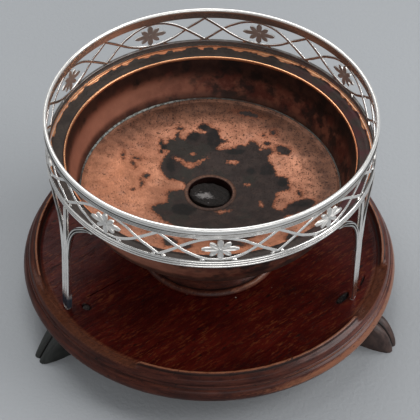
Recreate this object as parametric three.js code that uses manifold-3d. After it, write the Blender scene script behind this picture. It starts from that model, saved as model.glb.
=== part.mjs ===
// A table brazier for lighting pipes: a pierced silver gallery on three legs, a copper coal pan
// inside it on a turned pedestal, and a round mahogany base on three feet.
// Millimetres, +Z up. The origin is on the table, under the middle of the object's box.
import * as THREE from 'three';
import { mergeVertices } from 'three/addons/utils/BufferGeometryUtils.js';
import Module from 'manifold-3d';

const wasm = await Module();
wasm.setup();

// Driving dimensions
const TOTAL_HEIGHT = 119.4;
const BOARD_UNDERSIDE = 16.5;
const BOARD_FLOOR = 27.6;
const BOARD_LIP = 32.7;
const BOARD_RADIUS = 95.6;
const GALLERY_RADIUS = 80;
const GALLERY_BORE = 78.4;
const UPPER_RIM_HEIGHT = 5.6;
const LOWER_RIM_HEIGHT = 4.2;
const OPENWORK_HEIGHT = 14.4;
const ROSETTES = 9;
const STRAP_WIDTH = 1.8;
const STRAP_THICKNESS = 0.66;
const STRAP_REACH = 6.9;
const LEG_WIDTH = 6.4;
const LEG_THICKNESS = 2.5;
const LEG_SPLIT = 70;
const PAN_FLANGE_RADIUS = 77.8;
const PAN_FLANGE_TOP = 93.7;
const PAN_LIP_TOP = 95.1;
const PAN_SHEET = 1;
const PAN_MOUTH_RADIUS = 70.4;
const PAN_SEAM_RADIUS = 64.1;
const PAN_SEAM_TOP = 71.2;
const PAN_HOLE_RADIUS = 11;
const PAN_HOLE_TOP = 65;
const PEDESTAL_RADIUS = 36.4;
const SPIGOT_RADIUS = 10.3;
const FOOT_HALF_WIDTH = 5.8;
const NAIL_RADIUS = 0.8;
const NAIL_FROM_AXIS = 74.2;
const FIT_GAP = 0.3;
const ROUND_STEPS = 60;

// The legs and feet stand a little off even thirds, as they do on the real stand.
const LEGS = [
  { side: 'left', azimuth: -61, footRadius: 82.6 },
  { side: 'right', azimuth: 61, footRadius: 79.9 },
  { side: 'back', azimuth: 180, footRadius: 81 },
];
const FEET = [
  { side: 'left', azimuth: -60.2, tip: 101.4, nailAzimuth: -57.6 },
  { side: 'right', azimuth: 62, tip: 103.8, nailAzimuth: 58.6 },
  { side: 'back', azimuth: 180, tip: 102.6, nailAzimuth: 180 },
];
// Where the board's inner lip is cut away: the ramp reaches from start to end, with soft shoulders.
const SCOOPS = [
  { start: -88, full: -64, fullEnd: -27, end: -24 },
  { start: 51, full: 54, fullEnd: 77, end: 80 },
  { start: 160, full: 166, fullEnd: 194, end: 200 },
];

const SILVER = { color: 0xd8d6d0, roughness: 0.3, metalness: 1 };
const COPPER = { color: 0xb07a62, roughness: 0.45, metalness: 1 };
const DARK_COPPER = { color: 0x5a352b, roughness: 0.5, metalness: 1 };
const MAHOGANY = { color: 0x4a1d16, roughness: 0.4, metalness: 0 };
const IRON = { color: 0x2a2624, roughness: 0.7, metalness: 1 };

// A point from an azimuth (degrees from the front, towards +X), a radius and a height.
function at(azimuth, radius, z) {
  const a = THREE.MathUtils.degToRad(azimuth);
  return new THREE.Vector3(radius * Math.sin(a), -radius * Math.cos(a), z);
}

function mix(a, b, t) {
  return a + (b - a) * t;
}

function solidFrom(geometry) {
  const bare = new THREE.BufferGeometry();
  bare.setAttribute('position', geometry.getAttribute('position'));
  bare.setIndex(geometry.index);
  const merged = mergeVertices(bare, 1e-4);
  const mesh = new wasm.Mesh({
    numProp: 3,
    vertProperties: new Float32Array(merged.attributes.position.array),
    triVerts: new Uint32Array(merged.index.array),
  });
  return new wasm.Manifold(mesh);
}

function geometryFrom(solid) {
  const mesh = solid.getMesh();
  const positions = new Float32Array(mesh.numVert * 3);
  for (let i = 0; i < mesh.numVert; i++) {
    positions.set(mesh.vertProperties.subarray(i * mesh.numProp, i * mesh.numProp + 3), i * 3);
  }
  const geometry = new THREE.BufferGeometry();
  geometry.setAttribute('position', new THREE.BufferAttribute(positions, 3));
  geometry.setIndex(new THREE.BufferAttribute(mesh.triVerts, 1));
  geometry.computeVertexNormals();
  return geometry;
}

// A turned piece from (radius, height) pairs, listed upwards along its outside.
function turned(profile, steps = ROUND_STEPS) {
  const points = profile.map(([radius, z]) => new THREE.Vector2(radius, z));
  const geometry = new THREE.LatheGeometry(points, steps);
  geometry.rotateX(Math.PI / 2);
  return geometry;
}

function turnedRing(profile, steps = ROUND_STEPS) {
  return turned([...profile, profile[0]], steps);
}

// The hole in the board that takes a leg's tang, open at the top.
function tangHole({ azimuth, footRadius }) {
  const radius = 1.7;
  const low = 20;
  const high = 40;
  const geometry = new THREE.CylinderGeometry(radius, radius, high - low, 8);
  geometry.rotateX(Math.PI / 2);
  const middle = at(azimuth, footRadius, (low + high) / 2);
  geometry.translate(middle.x, middle.y, middle.z);
  return geometry;
}

// A skin through sections with the same number of points, closed by end caps or joined in a ring.
function loft(sections, joined = false) {
  const count = sections[0].length;
  const positions = sections.flat().flatMap((point) => point.toArray());
  const index = [];
  const spans = joined ? sections.length : sections.length - 1;
  for (let i = 0; i < spans; i++) {
    const here = i * count;
    const next = ((i + 1) % sections.length) * count;
    for (let j = 0; j < count; j++) {
      const k = (j + 1) % count;
      index.push(here + j, next + j, next + k, here + j, next + k, here + k);
    }
  }
  if (!joined) {
    [0, sections.length - 1].forEach((end, side) => {
      const middle = sections[end].reduce((sum, p) => sum.add(p), new THREE.Vector3()).divideScalar(count);
      const hub = positions.length / 3;
      positions.push(...middle.toArray());
      for (let j = 0; j < count; j++) {
        const a = end * count + j;
        const b = end * count + ((j + 1) % count);
        index.push(...(side === 0 ? [hub, a, b] : [hub, b, a]));
      }
    });
  }
  const geometry = new THREE.BufferGeometry();
  geometry.setAttribute('position', new THREE.Float32BufferAttribute(positions, 3));
  geometry.setIndex(index);
  geometry.computeVertexNormals();
  return geometry;
}

function piece(name, geometry, look) {
  const mesh = new THREE.Mesh(geometry, new THREE.MeshStandardMaterial(look));
  mesh.name = name;
  return mesh;
}

// Base board

function scoopDepth(azimuth) {
  const depths = SCOOPS.map(({ start, full, fullEnd, end }) => {
    const turns = end > 180 && azimuth < 0 ? azimuth + 360 : azimuth;
    const rise = THREE.MathUtils.smoothstep(turns, start, full);
    const fall = 1 - THREE.MathUtils.smoothstep(turns, fullEnd, end);
    return Math.min(rise, fall);
  });
  return Math.max(...depths);
}

function scoopTheLip(geometry) {
  const rampStart = 83.4;
  const rampEnd = 91.6;
  const rampTop = 30.4;
  const position = geometry.getAttribute('position');
  const point = new THREE.Vector3();
  for (let i = 0; i < position.count; i++) {
    point.fromBufferAttribute(position, i);
    const radius = Math.hypot(point.x, point.y);
    const inLip = radius > rampStart && radius < rampEnd && point.z > BOARD_FLOOR - 1;
    if (!inLip) continue;
    const azimuth = THREE.MathUtils.radToDeg(Math.atan2(point.x, -point.y));
    const along = (radius - rampStart) / (rampEnd - rampStart);
    const ramp = mix(BOARD_FLOOR, rampTop, along ** 1.5);
    position.setZ(i, mix(point.z, Math.min(point.z, ramp), scoopDepth(azimuth)));
  }
}

function baseBoard() {
  const tenonHole = 9.3;
  const tenonHoleFloor = 19.7;
  const geometry = turned([
    [0, BOARD_UNDERSIDE], [91.8, BOARD_UNDERSIDE], [93.6, 17.3], [94.9, 18.9], [BOARD_RADIUS, 21],
    [95.2, 23], [94.3, 24.6], [93.1, 25.4], [93, 26], [93.5, 26.5], [93.3, 27.1], [92.7, 27.4],
    [92.7, 28.8], [91.4, 30.3], [90.2, 31], [89.5, 31.7], [88.8, BOARD_LIP], [88.1, 32.6],
    [87.8, 31.9], [87.2, 28.9], [86, BOARD_FLOOR + 0.3], [84, BOARD_FLOOR], [tenonHole, BOARD_FLOOR],
    [tenonHole, tenonHoleFloor], [0, tenonHoleFloor],
  ]);
  scoopTheLip(geometry);
  let board = solidFrom(geometry);
  LEGS.forEach((standsHere) => {
    board = board.subtract(solidFrom(tangHole(standsHere)));
  });
  FEET.forEach(({ nailAzimuth }) => {
    board = board.subtract(solidFrom(nailShape(nailAzimuth, FIT_GAP)));
  });
  return piece('base_board', geometryFrom(board), MAHOGANY);
}

// Feet and their nails

// A nail with a flat round head let into the floor; the allowance makes the hole it sits in.
function nailShape(azimuth, allowance) {
  const headRadius = 1.9;
  const headTop = BOARD_FLOOR - 0.2;
  const headThickness = 0.9;
  const point = 9 - allowance;
  const shank = NAIL_RADIUS + allowance;
  const top = headTop + allowance * 4;
  const geometry = turned([
    [0, point], [shank, point + 1], [shank, headTop - headThickness - allowance],
    [headRadius + allowance, headTop - headThickness - allowance], [headRadius + allowance, top], [0, top],
  ], 8);
  const middle = at(azimuth, NAIL_FROM_AXIS, 0);
  geometry.translate(middle.x, middle.y, 0);
  return geometry;
}

// The foot's outline from the side: a round toe outside, a bracket that runs in under the board.
function footOutline(tip) {
  const toe = 11.5;
  const heel = 79;
  const bracketEnd = 63;
  const stations = [0, 0.35, 0.65, 0.85, 0.96, 1].map((share) => {
    const reach = share * toe;
    const height = BOARD_UNDERSIDE * Math.sqrt(1 - share ** 2.2);
    return { radius: tip - toe + reach, low: 0, high: Math.max(height, 1.2) };
  });
  return [
    { radius: bracketEnd, low: 12.5, high: BOARD_UNDERSIDE },
    { radius: mix(bracketEnd, heel, 0.5), low: 7.5, high: BOARD_UNDERSIDE },
    { radius: heel, low: 0, high: BOARD_UNDERSIDE },
    ...stations,
  ];
}

// Two round ribs side by side over a flat sole.
function footSection(azimuth, { radius, low, high }, tip) {
  const relief = Math.min(1, (high - low) / 6);
  const narrowing = 1 - 0.3 * THREE.MathUtils.smoothstep(radius, tip - 7, tip);
  const right = [
    [1, 0, 0], [1, 1, -1.6], [0.82, 1, -0.4], [0.5, 1, 0], [0.18, 1, -0.5],
  ];
  const left = right.map(([side, top, drop]) => [-side, top, drop]).reverse();
  const outline = [...right, [0, 1, -1.9], ...left].reverse();
  const across = at(azimuth + 90, 1, 0);
  return outline.map(([side, top, drop]) => {
    const z = top === 0 ? low : high + drop * relief;
    const middle = at(azimuth, radius, z);
    return middle.addScaledVector(across, side * FOOT_HALF_WIDTH * narrowing);
  });
}

function foot({ side, azimuth, tip, nailAzimuth }) {
  const sections = footOutline(tip).map((station) => footSection(azimuth, station, tip));
  const body = solidFrom(loft(sections));
  const hole = solidFrom(nailShape(nailAzimuth, FIT_GAP));
  return piece(`foot_${side}`, geometryFrom(body.subtract(hole)), MAHOGANY);
}

function footNail({ side, nailAzimuth }) {
  return piece(`foot_nail_${side}`, nailShape(nailAzimuth, 0), IRON);
}

// Pedestal

function panUnderside(radius) {
  return panFloor(radius) - 0.8;
}

function pedestal() {
  const tenonRadius = 9;
  const tenonEnd = 20;
  const socketRadius = 12.6;
  const socketFloor = 57.2;
  const tableRadius = 26;
  const onBoard = BOARD_FLOOR;
  const geometry = turned([
    [0, tenonEnd], [tenonRadius, tenonEnd], [tenonRadius, onBoard], [PEDESTAL_RADIUS - 0.7, onBoard],
    [PEDESTAL_RADIUS, 28.5], [PEDESTAL_RADIUS - 0.1, 29.8], [PEDESTAL_RADIUS - 1.3, 30.6],
    [PEDESTAL_RADIUS - 2.8, 30.2], [PEDESTAL_RADIUS - 3.8, 30.6], [29, 33.2], [22, 36.6],
    [16.8, 42], [15.2, 48], [16.4, 54], [20.4, 58.8], [25, 61.4], [tableRadius + 0.6, 63],
    [tableRadius, panUnderside(tableRadius) - FIT_GAP], [socketRadius + 0.8, panUnderside(13.4) - FIT_GAP],
    [socketRadius, 63.4], [socketRadius, socketFloor], [SPIGOT_RADIUS, socketFloor],
    [SPIGOT_RADIUS, 63.4], [9.4, 64.6], [5, 65.3], [0, 65.5],
  ], 36);
  return piece('pedestal', geometry, MAHOGANY);
}

// Copper pan

// Height of the pan's dished floor, from the hole's edge out to the seam.
function panFloor(radius) {
  const along = (radius - PAN_HOLE_RADIUS) / (PAN_SEAM_RADIUS - PAN_HOLE_RADIUS);
  return mix(PAN_HOLE_TOP, PAN_SEAM_TOP, along);
}

// The bowl's sheet rounds in at the foot and turns under the bottom plate.
function panWall() {
  const edge = PAN_FLANGE_RADIUS;
  const top = PAN_FLANGE_TOP;
  const mouth = PAN_MOUTH_RADIUS;
  const foot = PAN_SEAM_RADIUS;
  const turnIn = foot - 2.7;
  const turnTop = PAN_SEAM_TOP - 1.3;
  const turnLow = PAN_SEAM_TOP - 2.2;
  const geometry = turnedRing([
    [turnIn, turnLow], [foot - 1.3, turnLow], [foot + 0.1, turnLow + 0.8], [foot + 1.2, turnLow + 2.6],
    [foot + 2.2, 74], [foot + 3.5, 77.2], [foot + 5, 81.6], [mouth + PAN_SHEET, 91.2],
    [mouth + PAN_SHEET + 0.8, top - PAN_SHEET], [edge - 0.6, top - PAN_SHEET * 0.4], [edge, top + 0.2],
    [edge - 0.1, PAN_LIP_TOP - 0.1], [edge - 0.5, PAN_LIP_TOP], [edge - 0.9, PAN_LIP_TOP - 0.3],
    [edge - 1.4, top + 0.4], [mouth + 1.2, top + 0.3], [mouth + 0.5, top + 0.8],
    [mouth, top + 0.1], [foot + 4.1, 81.8], [foot + 2.6, 77.5], [foot + 1.3, 74.2],
    [foot + 0.5, PAN_SEAM_TOP + 0.8], [foot + 0.4, turnTop + 1], [foot, turnTop + 0.2],
    [foot - 1.3, turnTop], [turnIn, turnTop],
  ]);
  return piece('pan_wall', geometry, DARK_COPPER);
}

function panBottom() {
  const holeEdge = PAN_HOLE_RADIUS + 1.3;
  const seam = PAN_SEAM_RADIUS;
  const geometry = turnedRing([
    [holeEdge, panUnderside(holeEdge)], [22, panUnderside(22)], [42, panUnderside(42) - 0.1],
    [seam - 1.4, panUnderside(seam - 1.4)], [seam - 0.1, PAN_SEAM_TOP - 0.5],
    [seam + 0.1, PAN_SEAM_TOP + 0.6], [seam - 0.3, PAN_SEAM_TOP + 0.7], [seam - 0.7, PAN_SEAM_TOP],
    [42, panFloor(42) - 0.1], [22, panFloor(22)], [holeEdge, panFloor(holeEdge)],
  ]);
  return piece('pan_bottom', geometry, COPPER);
}

// The short tube that lines the pan's hole, with its lip turned out over the floor.
function panEyelet() {
  const bore = PAN_HOLE_RADIUS;
  const wall = bore + 0.9;
  const lip = bore + 2.1;
  const lipUnder = panFloor(lip) + 0.2;
  const tubeEnd = 58;
  const geometry = turnedRing([
    [bore, tubeEnd], [wall, tubeEnd], [wall, lipUnder], [lip, lipUnder], [lip + 0.1, lipUnder + 0.3],
    [lip - 0.6, lipUnder + 0.8], [bore + 0.6, lipUnder + 0.8], [bore, lipUnder + 0.2],
  ], 24);
  return piece('pan_eyelet', geometry, DARK_COPPER);
}

// Gallery rims

const REED_DEPTH = 0.35;
const SKIRT_BORE = 79.3;
const UPPER_RIM_LOW = TOTAL_HEIGHT - UPPER_RIM_HEIGHT;
const LOWER_RIM_TOP = UPPER_RIM_LOW - OPENWORK_HEIGHT;
const LOWER_RIM_LOW = LOWER_RIM_TOP - LOWER_RIM_HEIGHT;
const OPENWORK_MIDDLE = (UPPER_RIM_LOW + LOWER_RIM_TOP) / 2;

// The outside of a rim, upwards: round reeds with a sharp valley between each two.
function reeds(low, high, count) {
  const points = [];
  const pitch = (high - low) / count;
  for (let i = 0; i < count; i++) {
    points.push([GALLERY_RADIUS - REED_DEPTH, low + i * pitch + 0.05]);
    points.push([GALLERY_RADIUS, low + (i + 0.5) * pitch]);
  }
  points.push([GALLERY_RADIUS - REED_DEPTH, high]);
  return points;
}

// The upper rim hangs down in front of the lattice as a skirt: three reeds, a plain band and a bead.
function upperRim() {
  const reedsTop = UPPER_RIM_LOW + 2.4;
  const skirtTop = UPPER_RIM_LOW + 2.2;
  const bandRadius = GALLERY_RADIUS - 0.6;
  const beadTop = TOTAL_HEIGHT;
  const beadLow = beadTop - 1.8;
  const geometry = turnedRing([
    ...reeds(UPPER_RIM_LOW, reedsTop, 3), [bandRadius, beadLow - 0.2],
    [GALLERY_RADIUS - 0.2, beadLow + 0.5], [GALLERY_RADIUS - 0.3, beadTop - 0.5], [79.1, beadTop],
    [GALLERY_BORE + 0.1, beadTop - 0.4],
    [GALLERY_BORE, beadTop - 1], [GALLERY_BORE, skirtTop], [SKIRT_BORE, skirtTop],
    [SKIRT_BORE, UPPER_RIM_LOW],
  ]);
  return piece('gallery_upper_rim', geometry, SILVER);
}

function lowerRim() {
  const skirtLow = LOWER_RIM_TOP - 2.2;
  const geometry = turnedRing([
    [GALLERY_BORE, LOWER_RIM_LOW], ...reeds(LOWER_RIM_LOW, LOWER_RIM_TOP, 3), [SKIRT_BORE, LOWER_RIM_TOP],
    [SKIRT_BORE, skirtLow], [GALLERY_BORE, skirtLow],
  ]);
  return piece('gallery_lower_rim', geometry, SILVER);
}

// Lattice straps

const PITCH = 360 / ROSETTES;
const CROSSING = 13;
const STRAP_INNER = GALLERY_BORE + STRAP_THICKNESS / 2;
const STRAP_OUTER = STRAP_INNER + STRAP_THICKNESS + 0.27;

// Height of the strap's middle line over the openwork's middle, at an angle from a rosette.
function strapHeight(angle) {
  const away = Math.abs(angle);
  if (away <= CROSSING) return STRAP_REACH * (1 - (away / CROSSING) ** 2);
  return (-STRAP_REACH * (away - CROSSING)) / (PITCH / 2 - CROSSING);
}

// A strap runs on the inner radius and rides out over the other one at every second crossing.
function strapRadius(angle, overAt) {
  const climb = 4;
  const closeness = Math.max(0, 1 - Math.abs(angle - overAt) / climb);
  return mix(STRAP_INNER, STRAP_OUTER, THREE.MathUtils.smoothstep(closeness, 0, 0.5));
}

function strapPath(direction) {
  const rising = [0, 3, 6, 9, CROSSING - 2, CROSSING, CROSSING + 2, CROSSING + 4];
  const steps = [-PITCH / 2, ...rising.slice(1).map((angle) => -angle).reverse(), ...rising];
  const points = [];
  for (let i = 0; i < ROSETTES; i++) {
    steps.forEach((angle) => {
      points.push({
        azimuth: i * PITCH + angle,
        z: direction * strapHeight(angle),
        radius: strapRadius(angle, direction * CROSSING),
      });
    });
  }
  return points;
}

function strap(name, direction) {
  const path = strapPath(direction);
  const millimetresPerDegree = (Math.PI / 180) * STRAP_INNER;
  const heading = (from, to) => {
    const turn = THREE.MathUtils.euclideanModulo(to.azimuth - from.azimuth, 360);
    return new THREE.Vector2(turn * millimetresPerDegree, to.z - from.z).normalize();
  };
  const sections = path.map((point, i) => {
    const before = path[(i + path.length - 1) % path.length];
    const after = path[(i + 1) % path.length];
    const arriving = heading(before, point);
    const along = arriving.clone().add(heading(point, after)).normalize();
    const reach = STRAP_WIDTH / 2 / along.dot(arriving);
    const corner = (side, depth) => {
      const sideways = (-along.y * side * reach) / millimetresPerDegree;
      const z = OPENWORK_MIDDLE + point.z + along.x * side * reach;
      return at(point.azimuth + sideways, point.radius + (depth * STRAP_THICKNESS) / 2, z);
    };
    return [corner(-1, -1), corner(-1, 1), corner(1, 1), corner(1, -1)];
  });
  return piece(name, loft(sections, true), SILVER);
}

// Rosettes

function rosetteOutline() {
  const halfWidth = 8.7;
  const halfHeight = 5.8;
  const diagonal = 6.5;
  const waist = 1.9;
  const towards = (degrees) => {
    const a = THREE.MathUtils.degToRad(degrees);
    return new THREE.Vector2(Math.cos(a), Math.sin(a));
  };
  const petals = [
    { heading: 0, length: halfWidth, width: 1.5 }, { heading: 38, length: diagonal, width: 1.2 },
    { heading: 90, length: halfHeight, width: 1.4 }, { heading: 142, length: diagonal, width: 1.2 },
    { heading: 180, length: halfWidth, width: 1.5 }, { heading: 218, length: diagonal, width: 1.2 },
    { heading: 270, length: halfHeight, width: 1.4 }, { heading: 322, length: diagonal, width: 1.2 },
  ];
  return petals.flatMap(({ heading, length, width }, i) => {
    const next = petals[(i + 1) % petals.length].heading + (i === petals.length - 1 ? 360 : 0);
    const outwards = towards(heading);
    const sideways = towards(heading + 90);
    const spot = (along, across) =>
      outwards.clone().multiplyScalar(along).addScaledVector(sideways, across);
    return [
      spot(length * 0.68, -width), spot(length, -width * 0.35), spot(length, width * 0.35),
      spot(length * 0.68, width), towards((heading + next) / 2).multiplyScalar(waist),
    ];
  });
}

function rosette(number) {
  const thickness = 1.1;
  const back = 78.5;
  const bossRadius = 1.7;
  const plate = new THREE.ExtrudeGeometry(new THREE.Shape(rosetteOutline()), {
    depth: thickness,
    bevelEnabled: false,
  });
  const boss = new THREE.CylinderGeometry(bossRadius * 0.5, bossRadius, 1.4, 8);
  boss.rotateX(Math.PI / 2);
  boss.translate(0, 0, thickness + 0.2);
  const geometry = geometryFrom(solidFrom(plate).add(solidFrom(boss)));
  geometry.rotateX(Math.PI / 2);
  geometry.translate(0, -back, OPENWORK_MIDDLE);
  const mesh = piece(`rosette_${number}`, geometry, SILVER);
  mesh.rotation.z = THREE.MathUtils.degToRad((number - 1) * PITCH);
  return mesh;
}

// Legs

const LEG_HEAD_RADIUS = 79.3;

// A band across the leg: flat behind, with reeds in front. Across is the way its width runs.
function reededSection(middle, across, outwards, width, thickness, reedCount) {
  const points = [[-0.5, -0.5], [0.5, -0.5]];
  for (let i = reedCount; i >= 0; i--) {
    points.push([i / reedCount - 0.5, 0.25]);
    if (i > 0) points.push([(i - 0.5) / reedCount - 0.5, 0.5]);
  }
  return points.map(([x, y]) =>
    middle.clone().addScaledVector(across, x * width).addScaledVector(outwards, y * thickness));
}

function legStem(azimuth, footRadius) {
  const across = at(azimuth + 90, 1, 0);
  const outwards = at(azimuth, 1, 0);
  const headHeight = LOWER_RIM_LOW - FIT_GAP;
  const tangEnd = 20.5;
  // Height, then the shares of the full width and thickness there.
  const stations = [
    [tangEnd, 0.31, 0.9], [BOARD_FLOOR - 0.2, 0.31, 0.9], [BOARD_FLOOR + 0.4, 0.5, 0.8], [31, 0.88, 1],
    [46, 1, 1], [60, 1, 1], [LEG_SPLIT - 2, 0.96, 1], [LEG_SPLIT + 2, 0.66, 0.9],
    [LEG_SPLIT + 8, 0.44, 0.8], [headHeight, 0.42, 0.7],
  ];
  const sections = stations.map(([z, widthShare, thicknessShare]) => {
    const climb = THREE.MathUtils.clamp((z - BOARD_FLOOR) / (headHeight - BOARD_FLOOR), 0, 1);
    const middle = at(azimuth, mix(footRadius, LEG_HEAD_RADIUS, climb), z);
    const width = LEG_WIDTH * widthShare;
    return reededSection(middle, across, outwards, width, LEG_THICKNESS * thicknessShare, 3);
  });
  return loft(sections);
}

// A side prong leaves the stem, arches outwards and lands flat under the lower rim.
function legProng(azimuth, footRadius, side) {
  const headHeight = LOWER_RIM_LOW - FIT_GAP;
  const route = new THREE.CatmullRomCurve3([
    new THREE.Vector3(1.5, LEG_SPLIT - 6, 0), new THREE.Vector3(2.2, LEG_SPLIT, 0),
    new THREE.Vector3(4.5, 80, 0), new THREE.Vector3(8.4, 86.6, 0), new THREE.Vector3(13.2, 90.8, 0),
    new THREE.Vector3(17.6, headHeight - 1.8, 0), new THREE.Vector3(21.4, headHeight - 0.9, 0),
  ]);
  const steps = 9;
  const sections = [];
  for (let i = 0; i <= steps; i++) {
    const share = i / steps;
    const point = route.getPoint(share);
    const tangent = route.getTangent(share);
    const climb = (point.y - BOARD_FLOOR) / (headHeight - BOARD_FLOOR);
    const radius = mix(footRadius, LEG_HEAD_RADIUS, THREE.MathUtils.clamp(climb, 0, 1));
    const here = azimuth + side * THREE.MathUtils.radToDeg(point.x / radius);
    const sideways = at(here + 90, 1, 0).multiplyScalar(-tangent.y * side);
    const across = sideways.add(new THREE.Vector3(0, 0, tangent.x)).multiplyScalar(-1);
    const outwards = at(here, 1, 0);
    const width = mix(2.4, 1.3, THREE.MathUtils.smoothstep(share, 0.75, 1));
    const thickness = LEG_THICKNESS * 0.7;
    const section = reededSection(at(here, radius, point.y), across, outwards, width, thickness, 2);
    sections.push(side > 0 ? section : section.reverse());
  }
  return loft(sections);
}

function leg({ side, azimuth, footRadius }) {
  const stem = solidFrom(legStem(azimuth, footRadius));
  const prongs = [-1, 1].map((way) => solidFrom(legProng(azimuth, footRadius, way)));
  const solid = prongs.reduce((whole, prong) => whole.add(prong), stem);
  return piece(`leg_${side}`, geometryFrom(solid), SILVER);
}

// The assembly

const rosettes = Array.from({ length: ROSETTES }, (_, i) => rosette(i + 1));

const stand = new THREE.Group();
stand.add(baseBoard(), ...FEET.map(foot), ...FEET.map(footNail), pedestal(), ...LEGS.map(leg));

const gallery = new THREE.Group();
gallery.add(upperRim(), lowerRim(), ...rosettes);
gallery.add(strap('lattice_strap_high', 1), strap('lattice_strap_low', -1));

const pan = new THREE.Group();
pan.add(panWall(), panBottom(), panEyelet());

// The back foot reaches further than the board's front edge, so the axis lies forward of the box's middle.
const brazier = new THREE.Group();
brazier.add(stand, gallery, pan);
brazier.position.y = (BOARD_RADIUS - FEET.find(({ side }) => side === 'back').tip) / 2;

export default brazier;
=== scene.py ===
# The looks of a table brazier for lighting pipes: silver gallery, copper coal pan, mahogany stand.
# Lengths are millimetres from the turned axis, with the table at height 0, unless a name says metres.
# Azimuths are degrees from the front rosette towards the right leg.
import math
from functools import partialmethod

import bpy
import numpy as np
from mathutils import Matrix, Vector

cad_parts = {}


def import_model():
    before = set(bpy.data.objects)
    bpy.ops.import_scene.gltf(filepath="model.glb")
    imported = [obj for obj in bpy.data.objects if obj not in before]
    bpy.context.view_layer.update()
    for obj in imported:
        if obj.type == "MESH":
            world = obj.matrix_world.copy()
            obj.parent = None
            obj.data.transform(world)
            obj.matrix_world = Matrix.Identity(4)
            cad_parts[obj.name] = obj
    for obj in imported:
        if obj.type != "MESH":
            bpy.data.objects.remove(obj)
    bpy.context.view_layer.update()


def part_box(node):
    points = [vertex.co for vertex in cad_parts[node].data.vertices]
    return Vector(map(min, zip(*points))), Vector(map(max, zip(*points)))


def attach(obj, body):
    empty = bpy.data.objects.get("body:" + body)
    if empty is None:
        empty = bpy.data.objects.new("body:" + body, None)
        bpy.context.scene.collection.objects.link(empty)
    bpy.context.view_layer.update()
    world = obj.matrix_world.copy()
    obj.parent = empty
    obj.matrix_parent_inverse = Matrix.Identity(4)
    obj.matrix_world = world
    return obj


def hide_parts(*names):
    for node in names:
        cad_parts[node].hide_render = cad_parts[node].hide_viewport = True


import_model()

MM = 0.001
RIM_LOW, RIM_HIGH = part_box("gallery_upper_rim")
AXIS = np.array([(RIM_LOW.x + RIM_HIGH.x) / 2, (RIM_LOW.y + RIM_HIGH.y) / 2, 0.0])


def extent(node):
    """Lowest and highest corner of a CAD node, in millimetres from the axis."""
    low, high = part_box(node)
    return (np.array(low) - AXIS) / MM, (np.array(high) - AXIS) / MM


# Sizes that the frame gives
(_, _, UPPER_RIM_LOW), (GALLERY_RADIUS, _, GALLERY_TOP) = extent("gallery_upper_rim")
(_, _, LOWER_RIM_LOW), (_, _, LOWER_RIM_TOP) = extent("gallery_lower_rim")
(_, _, BOARD_UNDERSIDE), (BOARD_RADIUS, _, BOARD_LIP) = extent("base_board")
FLANGE_RADIUS, _, PAN_LIP_TOP = extent("pan_wall")[1]
PEDESTAL_RADIUS = extent("pedestal")[1][0]
OPENWORK_MIDDLE = (UPPER_RIM_LOW + LOWER_RIM_TOP) / 2

# Sizes that the stand's drawing gives
BOARD_FLOOR = 27.6
GALLERY_BORE = 78.4
FLANGE_TOP = 93.7
PAN_MOUTH = 70.4
PAN_SEAM = 64.1
PAN_SEAM_TOP = 71.2
PAN_HOLE = 11.0
PAN_HOLE_TOP = 65.0
ROSETTES = 9
PITCH = 360 / ROSETTES
CROSSING = 13
STRAP_REACH = 6.9
STRAP_WIDTH = 1.55
STRAP_THICKNESS = 0.66
LEG_WIDTH = 6.4
LEG_THICKNESS = 2.5
LEG_SPLIT = 70
LEG_HEAD_RADIUS = 79.3
SPIGOT_RADIUS = 10.3

# Azimuth and distance out of each foot of a leg, tip of a bracket foot, and nail
LEGS = {"left": (-61, 82.6), "right": (61, 79.9), "back": (180, 81.0)}
FEET = {"left": (-60.2, 101.4), "right": (62, 103.8), "back": (180, 102.6)}
NAILS = {"left": (-57.6, 74.2), "right": (58.6, 74.2), "back": (180, 74.2)}
# Azimuths where each cut in the board's lip starts, is full, is full to, and ends
SCOOPS = [(-88, -64, -27, -24), (51, 54, 77, 80), (160, 166, 194, 200)]


# Node trees

class Wire:
    """A node's output that takes part in sums like a number."""

    def __init__(self, tree, socket):
        self.tree = tree
        self.socket = socket

    def maths(self, operation, other=0.0, swapped=False):
        """One Math node on this wire and another wire or number."""
        node = self.tree.nodes.new("ShaderNodeMath")
        node.operation = operation
        first, second = (other, self) if swapped else (self, other)
        for place, value in zip(node.inputs, (first, second, 0.0)):
            plug(self.tree, value, place)
        return Wire(self.tree, node.outputs[0])

    __add__ = __radd__ = partialmethod(maths, "ADD")
    __mul__ = __rmul__ = partialmethod(maths, "MULTIPLY")
    __sub__ = partialmethod(maths, "SUBTRACT")
    __rsub__ = partialmethod(maths, "SUBTRACT", swapped=True)
    __truediv__ = partialmethod(maths, "DIVIDE")
    __pow__ = partialmethod(maths, "POWER")
    __neg__ = partialmethod(maths, "MULTIPLY", -1.0)
    low = partialmethod(maths, "MINIMUM")
    high = partialmethod(maths, "MAXIMUM")
    size = partialmethod(maths, "ABSOLUTE")
    sine = partialmethod(maths, "SINE")
    cosine = partialmethod(maths, "COSINE")
    angle = partialmethod(maths, "ARCTAN2")

    def step(self, start, end):
        """0 below start and 1 above end, with a soft rise between them; start may be the larger."""
        node = self.tree.nodes.new("ShaderNodeMapRange")
        node.interpolation_type = "SMOOTHSTEP"
        for place, value in zip(node.inputs, (self, start, end, 0.0, 1.0)):
            plug(self.tree, value, place)
        return Wire(self.tree, node.outputs[0])


def plug(tree, value, place):
    """Links a wire to a socket, or sets the socket to a value."""
    if isinstance(value, Wire):
        tree.links.new(value.socket, place)
    else:
        place.default_value = value


def add_node(tree, kind, settings=None, inputs=None, out=0):
    """Any node by its type, its settings, and the values or wires of its sockets."""
    node = tree.nodes.new(kind)
    for name, value in (settings or {}).items():
        setattr(node, name, value)
    for name, value in (inputs or {}).items():
        plug(tree, value, node.inputs[name])
    return Wire(tree, node.outputs[out])


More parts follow.
